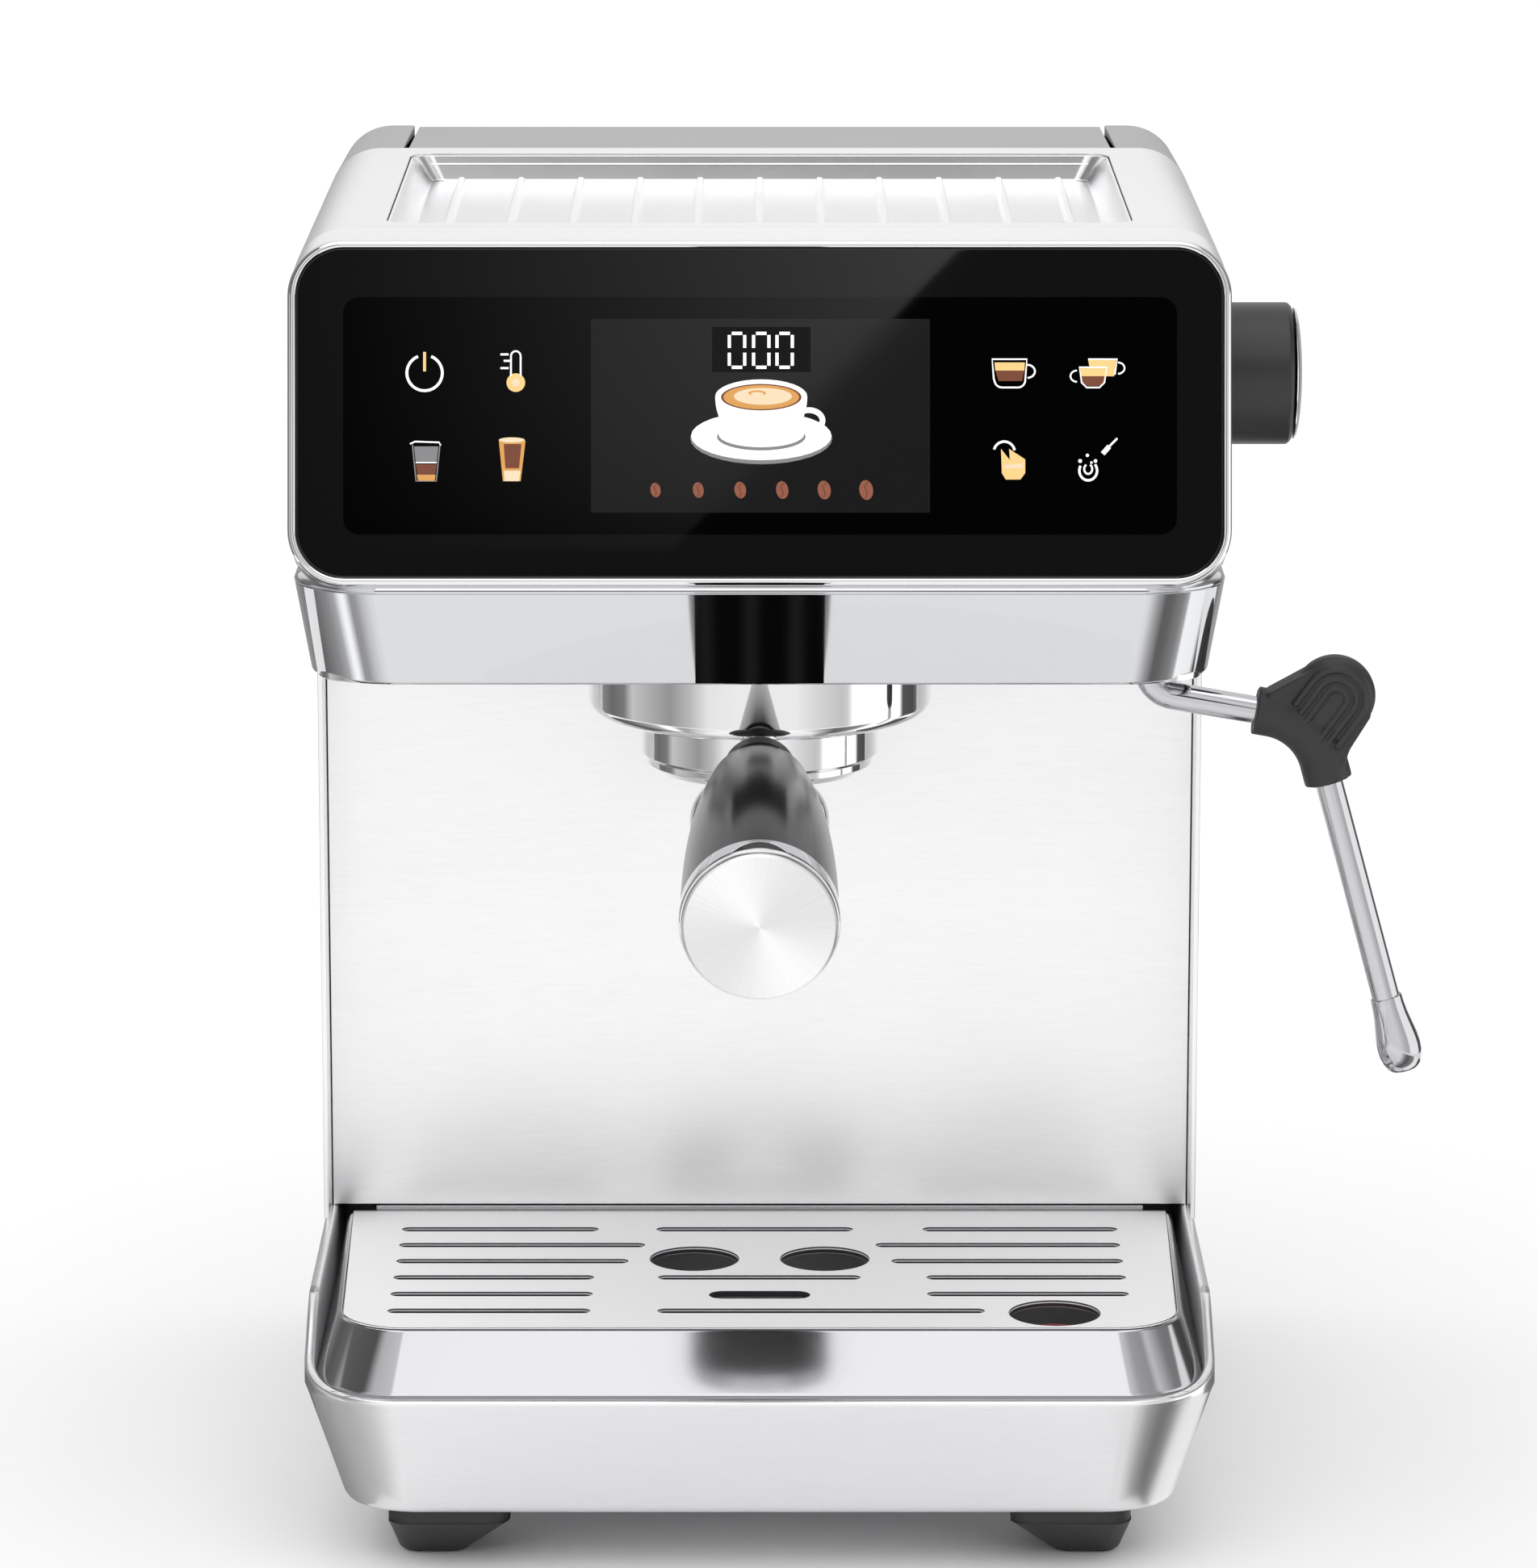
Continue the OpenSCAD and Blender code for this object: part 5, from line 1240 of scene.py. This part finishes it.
@dataclass
class SteamWand(Assembly):
    """The steam tube, its rubber sleeve with a thumb tab, and the tip."""

    tube_r: float = 4.0
    sleeve_r: float = 7.0
    first_bend: tuple[float, float] = (9.0, 80.0)
    run: float = 28.8
    elbow_bend: tuple[float, float, int] = (20.0, -64.6, 16)
    drop: float = 72.9
    tab: tuple[float, float] = (166.5, 252.3)
    tab_r: float = 11.8
    tab_half: float = 6.2
    web_half: float = 5.4
    rib_r: float = 0.95
    rib_lean: float = -36.0
    rib_sides: tuple[float, float] = (-6.25, 6.25)
    rib_arches: Triple = (3.2, 5.9, 8.6)
    skin_cell: float = 0.5

    def build(self) -> None:
        """Build the pieces of the wand."""
        self.tube()
        self.tip()
        self.sleeve()

    def start(self) -> Vector:
        """Point under the ball where the tube begins."""
        lay = self.layout
        return Vector((lay.wand_x, lay.wand_y, lay.ball_z - 7))

    def tube(self) -> None:
        """Bend the steel tube: out to the side, then down and away."""
        bm = bmesh.new()
        pipe = Pipe(bm, self.start(), self.tube_r).bend(*self.first_bend, 14).straight(self.run)
        pipe.bend(*self.elbow_bend).straight(self.drop)
        self.add("steam_pipe", bm, "tube_steel", "wand_tube")

    def lead(self, run: float) -> Pipe:
        """Bare guide along the tube's first bend and run, whose mesh isn't kept."""
        return Pipe(bmesh.new(), self.start(), 1).bend(*self.first_bend, 2).straight(run)

    def elbow(self, bm: BMesh, before: float, after: float) -> None:
        """Form the sleeve round the elbow, with straight legs before and after it."""
        lead = self.lead(self.run - before)
        pipe = Pipe(bm, lead.at, self.sleeve_r, 40)
        pipe.heading = self.first_bend[1]
        ops.rotate(bm, verts=corners(pipe.end), cent=lead.at,
                   matrix=Matrix.Rotation(math.radians(-pipe.heading), 3, "Y"))
        pipe.straight(before).bend(*self.elbow_bend).straight(after)

    def sleeve(self) -> None:
        """Mould the rubber sleeve and tab in one soft form, with arched ribs."""
        bm = bmesh.new()
        self.elbow(bm, 4.3, 5.9)
        middle = Vector((self.tab[0], self.layout.wand_y, self.tab[1]))
        self.lobe(bm, middle)
        self.web(bm)
        for side in self.rib_sides:
            for radius in self.rib_arches:
                self.rib(bm, middle + Vector((0, side, 0)), radius)
        obj = self.add("rubber_sleeve", bm, "rubber", "wand_grip", weigh=False)
        remesh = obj.modifiers.new("one skin", "REMESH")
        remesh.mode = "VOXEL"
        remesh.voxel_size = self.skin_cell * MM
        remesh.use_smooth_shade = True
        smooth = obj.modifiers.new("soft form", "SMOOTH")
        smooth.factor = 0.4
        smooth.iterations = 3
        # The skin is kept as plain mesh
        graph = bpy.context.evaluated_depsgraph_get()
        mesh = bpy.data.meshes.new_from_object(obj.evaluated_get(graph))
        obj.modifiers.clear()
        obj.data = mesh

    def lobe(self, bm: BMesh, middle: Vector) -> None:
        """Rounded disc of the thumb tab, its axis along Y."""
        part = bmesh.new()
        steps = ((0.72, -1), (0.9, -0.78), (1, -0.3), (1, 0.3), (0.9, 0.78), (0.72, 1))
        spun(part, [(self.tab_r * r, self.tab_half * z) for r, z in steps], 48)
        ops.transform(part, matrix=Matrix.Translation(middle) @ Matrix.Rotation(math.pi / 2, 4, "X"),
                      verts=part.verts)
        self.merge(bm, part)

    def web(self, bm: BMesh) -> None:
        """Solid web between the tab and the sleeve."""
        part = bmesh.new()
        y = self.layout.wand_y - self.web_half
        points = [(152.5, 256.6), (147.0, 253.6), (150.0, 243.0), (161.0, 236.0), (168.0, 228.0),
                  (170.8, 237.0), (176.6, 246.5), (177.5, 252.0), (164.0, 263.0)]
        made = ops.contextual_create(part, geom=[part.verts.new((x, y, z)) for x, z in points])
        self.push(part, made["faces"], Vector((0, 2 * self.web_half, 0)))
        self.merge(bm, part)

    def rib(self, bm: BMesh, middle: Vector, radius: float) -> None:
        """Arched rib over the tab that runs down both its sides."""
        part = bmesh.new()
        lean = math.radians(self.rib_lean)
        down = Vector((math.sin(lean), 0, -math.cos(lean)))
        across = Vector((-down.z, 0, down.x))
        leg = 15 - radius * 0.4
        ops.create_circle(part, cap_ends=True, segments=10, radius=self.rib_r)
        turn = Vector((0, 0, 1)).rotation_difference(-down).to_matrix().to_4x4()
        ops.transform(part, matrix=Matrix.Translation(middle + across * radius + down * leg) @ turn,
                      verts=part.verts)
        cap = self.push(part, list(part.faces), -down * leg)
        made = ops.spin(part, geom=cap, cent=middle, axis=(0, -1, 0), angle=math.pi, steps=14)
        self.push(part, grown_faces(made, "geom_last"), down * (leg - 3))
        self.merge(bm, part)

    def push(self, part: BMesh, faces: list[BMFace], way: Vector) -> list[BMFace]:
        """Extrude faces along a vector, and return the faces at the far end."""
        cap = grown_faces(ops.extrude_face_region(part, geom=faces))
        ops.translate(part, vec=way, verts=corners(cap))
        return cap

    def merge(self, bm: BMesh, part: BMesh) -> None:
        """Add a part's mesh to another mesh and free it."""
        carrier = bpy.data.meshes.new("part")
        part.to_mesh(carrier)
        bm.from_mesh(carrier)
        part.free()
        bpy.data.meshes.remove(carrier)

    def tip(self) -> None:
        """Turn the bulb of the tip."""
        lead = self.lead(self.run).bend(*self.elbow_bend[:2], 2).straight(self.drop)
        bm = bmesh.new()
        spun(bm, [(4.5, 0), (4.65, 0.4), (4.7, 2.2), (5.0, 5.5), (5.6, 9), (6.15, 12.2), (6.4, 15),
                  (6.3, 17.3), (5.8, 19.6), (4.9, 21.4), (3.7, 22.4), (1.3, 22.5), (1.2, 20)], 64)
        turn = Matrix.Rotation(math.radians(180 - lead.heading), 4, "Y")
        matrix = self.layout.place() @ Matrix.Translation(lead.at) @ turn
        self.add("wand_nozzle", bm, "tube_steel", "wand_tip", matrix)


# ---------------------------------------------------------------- stock nodes

# Nodes that show from outside: their finish and the width of their softened edges
SHOWN: dict[str, tuple[str, float]] = {
    "bayonet_collar": ("chrome", 0.5), "head_base": ("polished_steel", 0.3),
    "rear_panel": ("sheet_steel", 0.2),
    "cord_gland": ("rubber", 0.5), "steam_knob": ("knob_black", 0.5), "knob_cap": ("chrome", 0.3),
    "wand_socket": ("chrome", 0.3), "wand_swivel": ("chrome", 0.3), "water_tank": ("tank", 0.6),
    "tank_shelf": ("black_plastic", 0.4),
}
# Nodes whose CAD mesh stays as it is, by finish
INNER: dict[str, str] = {
    "polished_steel": "base_screws screen_screw filter_basket basket_spring",
    "chrome": "wand_ball shower_screen brew_tube steam_tube", "black_plastic": "tank_valve thermostats",
    "sheet_steel": "chassis", "brass": "group_casting steam_valve valve_stem", "cast": "thermoblock",
    "rubber": "group_gasket pump_mounts", "coil": "solenoid_valve pump display_module",
    "grey_plastic": "flow_meter", "board": "control_board touch_board",
    "silicone": "suction_hose pressure_hose",
}


@dataclass
class StockParts(Assembly):
    """The remaining parts: CAD shapes with their finish, edges softened where they show."""

    def build(self) -> None:
        """Dress every stock part."""
        self.dress(*((f"{node}_soft", node, width, finish) for node, (finish, width) in SHOWN.items()))
        for finish, nodes in INNER.items():
            for node in nodes.split():
                materials = bpy.data.objects[node].data.materials
                materials.clear()
                materials.append(self.palette[finish])


# ---------------------------------------------------------------- light, floor, camera

Levels = tuple[tuple[float, float], ...]


def level_at(levels: Levels, azimuth: float) -> float:
    """Read a brightness between the corners of its profile."""
    for (left, low), (right, high) in zip(levels, levels[1:]):
        if left <= azimuth <= right:
            return low + (high - low) * (azimuth - left) / (right - left)
    return levels[-1][1]


@dataclass(frozen=True)
class Card:
    """A band round a point that only mirrors see.

    Its sizes are in metres and its centre in the machine's millimetres. Its levels are azimuths in degrees,
    0 in front and 90 at the right, each with a brightness.
    """

    levels: Levels
    low: float
    high: float
    near: float
    far: float
    centre: tuple[float, float]


# Middle of the footprint in the machine's millimetres
MIDDLE = (30.5, 92.6)
LOW_RING = Card(
    ((-180, 0.45), (-128, 0.30), (-112, 0.16), (-98, 0.22), (-90, 0.62), (-60, 0.34), (-46, 0.55),
     (-34, 0.90), (-16, 0.96), (20, 0.96), (34, 0.78), (52, 0.62), (57, 0.70), (61, 1.30), (104, 1.25),
     (108, 0.10), (122, 0.08), (140, 0.40), (180, 0.45)),
    0.0, 0.43, 0.75, 0.75, MIDDLE)
HIGH_RING = Card(
    ((18, 0.93), (24, 0.95), (36, 0.60), (56, 0.50), (64, 0.95), (84, 0.35), (120, 0.20), (140, 0.84),
     (180, 0.95), (225, 0.84), (240, 0.25), (300, 0.12), (312, 0.80), (336, 0.95), (342, 0.93)),
    0.43, 1.5, 0.75, 0.75, MIDDLE)
FLOOR_CARD = Card(((-58, 1.06), (58, 1.06)), 0.001, 0.001, 0.22, 1.60, (30.5, -7.4))
CHIN_LEFT = Card(
    ((-170, 0.10), (-128, 0.12), (-114, 0.20), (-92, 0.36), (-80, 0.55), (-69, 1.35), (-64, 1.30),
     (-54, 0.42), (-46, 0.44), (-34, 0.74), (-20, 0.98), (-14, 1.02)),
    0.002, 0.002, 0.10, 0.48, (-107, 15))
CHIN_RIGHT = Card(
    ((14, 1.04), (20, 0.97), (34, 0.50), (48, 0.16), (58, 0.17), (76, 0.30), (84, 0.50), (88, 1.30),
     (112, 1.20), (118, 0.10), (170, 0.10)),
    0.002, 0.002, 0.10, 0.48, (107, 15))
BASE_LEFT = Card(
    ((-170, 0.20), (-120, 0.28), (-90, 0.40), (-60, 0.48), (-36, 0.62), (-16, 0.86), (-4, 0.96)),
    0.003, 0.003, 0.020, 0.110, (-105.5, 17.6))
BASE_RIGHT = Card(
    ((4, 0.96), (16, 0.78), (36, 0.30), (58, 0.10), (78, 0.24), (92, 0.90), (130, 0.95), (170, 0.30)),
    0.003, 0.003, 0.020, 0.110, (105.5, 17.6))
CARDS = (LOW_RING, HIGH_RING, FLOOR_CARD, CHIN_LEFT, CHIN_RIGHT, BASE_LEFT, BASE_RIGHT)


@dataclass
class Studio:
    """A plain white studio: floor, soft lamps, world and camera.

    Sizes are in the machine's millimetres, angles in degrees.
    The edges of the glare card are measured from the camera, across and up the glass.
    """

    layout: Layout
    camera_back: float = 2020.0
    camera_high: float = 668.6
    pitch: float = 12.07
    lens: float = 167.4
    sensor: float = 36.0
    shift_x: float = 11 / 1942
    sky: float = 0.93
    dark_sky: float = 0.012
    dark_cone: tuple[float, float] = (20.0, 13.0)
    sun: float = 0.9
    sun_spread: float = 80.0
    sun_tilt: tuple[float, float] = (24.0, -12.0)
    glare_left: float = -300.0
    glare_right: tuple[float, float] = (-49.4, 136.0)
    glare_rise: tuple[float, float] = (126.0, 320.0)
    shade_half: float = 18.5
    shade_reach: tuple[float, float] = (-40.0, 2.0)
    shade_z: float = 261.5

    def build(self) -> None:
        """Set up everything that isn't the machine."""
        self.world()
        self.floor()
        self.lamps()
        self.camera()
        bpy.context.scene.view_settings.view_transform = "Standard"

    def world(self) -> None:
        """Make an even pale world with a dark patch where the glass looks."""
        world = bpy.data.worlds.new("studio")
        world.use_nodes = True
        bpy.context.scene.world = world
        tree = world.node_tree
        back = tree.nodes["Background"]
        path, coords, toward, patch = (tree.nodes.new(f"ShaderNode{kind}") for kind in
                                       ("LightPath", "TexCoord", "VectorMath", "MapRange"))
        toward.operation = "DOT_PRODUCT"
        tree.links.new(coords.outputs["Generated"], toward.inputs[0])
        a = math.radians(self.pitch + 4)
        toward.inputs[1].default_value = (0, -math.cos(a), math.sin(a))
        patch.interpolation_type = "SMOOTHSTEP"
        tree.links.new(toward.outputs["Value"], patch.inputs["Value"])
        outer, inner = (math.cos(math.radians(angle)) for angle in self.dark_cone)
        set_inputs(patch, {"From Min": outer, "From Max": inner, "To Min": self.sky, "To Max": self.dark_sky})
        strength = math_node(tree, "MAXIMUM", patch.outputs["Result"], path.outputs["Is Camera Ray"])
        tree.links.new(strength, back.inputs["Strength"])
        back.inputs["Color"].default_value = (1, 1, 1, 1)

    def floor(self) -> None:
        """Lay the pale floor."""
        bm = bmesh.new()
        ops.create_circle(bm, cap_ends=True, segments=96, radius=14,
                          matrix=Matrix.Translation((0, 0, -0.0003)))
        paper = new_material("floor paper", {"Base Color": (0.93, 0.93, 0.935, 1), "Roughness": 0.9,
                                             "Specular IOR Level": 0.0})
        mesh_object("floor", bm, paper[:1])

    def lamps(self) -> None:
        """Hang a soft sun from above, and stand cards for the bright metal to mirror."""
        sun = bpy.data.lights.new("soft sun", "SUN")
        sun.energy = self.sun
        sun.angle = math.radians(self.sun_spread)
        link("soft sun", sun).rotation_euler = (*(math.radians(angle) for angle in self.sun_tilt), 0)
        for index, card in enumerate(CARDS):
            self.card(f"card_{index}", card)
        self.shade_over_grip()
        self.glare()

    def card(self, name: str, shape: Card) -> None:
        """Stand one band round a point, whose brightness changes smoothly with the azimuth."""
        bm = bmesh.new()
        glow = bm.verts.layers.float.new(GLOW)
        centre = self.layout.place() @ Vector((*shape.centre, 0))
        start, end = shape.levels[0][0], shape.levels[-1][0]
        a = math.radians(start)
        out = Vector((math.sin(a), -math.cos(a), 0))
        foot = bm.verts.new(centre + out * shape.near + Vector((0, 0, shape.low)))
        head = bm.verts.new(centre + out * shape.far + Vector((0, 0, shape.high)))
        edge = bm.edges.new((foot, head))
        ops.spin(bm, geom=[foot, head, edge], cent=centre, axis=(0, 0, 1), angle=math.radians(end - start),
                 steps=int((end - start) / 2))
        for vert in bm.verts:
            side = vert.co - centre
            azimuth = math.degrees(math.atan2(side.x, -side.y))
            turns = round((azimuth - (start + end) / 2) / 360)
            vert[glow] = level_at(shape.levels, azimuth - 360 * turns)
        self.mirror_only(name, bm)

    def shade_over_grip(self) -> None:
        """Lay a dark strip above the neck of the grip, which the chin mirrors as a black band."""
        bm = bmesh.new()
        glow = bm.verts.layers.float.new(GLOW)
        front, back = self.shade_reach
        ops.create_grid(bm, x_segments=24, y_segments=1, size=1)
        for vert in bm.verts:
            streak = 0.5 + 0.5 * math.cos(9 * vert.co.x + 1.2)
            vert[glow] = 0.003 + 0.012 * streak ** 3
            y = (front + back) / 2 + (back - front) / 2 * vert.co.y
            vert.co = Vector((vert.co.x * (self.shade_half - 0.35 * vert.co.y), y, self.shade_z))
        bm.transform(self.layout.place())
        self.mirror_only("grip_shade", bm)

    def mirror_only(self, name: str, bm: BMesh) -> None:
        """Turn a mesh in metres, with its glow at each vertex, into a card that only glossy surfaces see."""
        material, tree, shader = new_material(name, {
            "Base Color": (0, 0, 0, 1), "Specular IOR Level": 0.0, "Emission Color": (1, 1, 1, 1)})
        glow = tree.nodes.new("ShaderNodeAttribute")
        glow.attribute_name = GLOW
        tree.links.new(glow.outputs["Fac"], shader.inputs["Emission Strength"])
        card = mesh_object(name, bm, [material])
        for kind in ("camera", "diffuse", "shadow", "transmission", "volume_scatter"):
            setattr(card, f"visible_{kind}", False)

    def glare(self) -> None:
        """Hold a slanted, fading card above the camera, whose image crosses the glass."""
        panel = self.layout.panel()
        eye = panel.inverted() @ self.eye()
        bm = bmesh.new()
        glow = bm.verts.layers.float.new(GLOW)
        (below, above), (low, high), left = self.glare_right, self.glare_rise, self.glare_left
        ops.create_grid(bm, x_segments=16, y_segments=16, size=1)
        for vert in bm.verts:
            s, t = (vert.co.x + 1) / 2, (vert.co.y + 1) / 2
            right = below + (above - below) * t
            vert[glow] = (0.10 + 0.92 * t) * s ** 1.6
            across, up = left + s * (right - left), low + (high - low) * t
            vert.co = panel @ Vector((eye.x + across, eye.y + up, eye.z))
        self.mirror_only("glare_card", bm)

    def eye(self) -> Vector:
        """Where the camera stands, in the model's metres."""
        return self.layout.place() @ Vector((0, -self.camera_back, self.camera_high))

    def camera(self) -> None:
        """Stand the camera before the machine, level with it and pitched down."""
        data = bpy.data.cameras.new("front view")
        data.lens = self.lens
        data.sensor_width = self.sensor
        data.shift_x = self.shift_x
        data.clip_end = 60
        camera = link("front view", data)
        camera.location = self.eye()
        camera.rotation_euler = (math.radians(90 - self.pitch), 0, 0)
        bpy.context.scene.camera = camera


# ---------------------------------------------------------------- main

def main() -> None:
    """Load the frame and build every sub-assembly."""
    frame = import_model()
    behaviour = frame["record"]["behaviour"]["bodies"]
    bodies = {node: body for body, nodes in behaviour.items() for node in nodes}
    slots = {part["node"]: part["material_slot"] for part in frame["record"]["subparts"]}
    layout = read_layout()
    palette = Palette()
    Studio(layout).build()
    for kind in (Base, Tray, Head, Signs, Portafilter, SteamWand, StockParts):
        kind(layout, palette, bodies, slots).build()
        LOG.info("built %s", kind.__name__)
    bpy.context.view_layer.update()


if __name__ == "__main__":
    logging.basicConfig(level=logging.INFO, format="%(name)s: %(message)s")
    main()
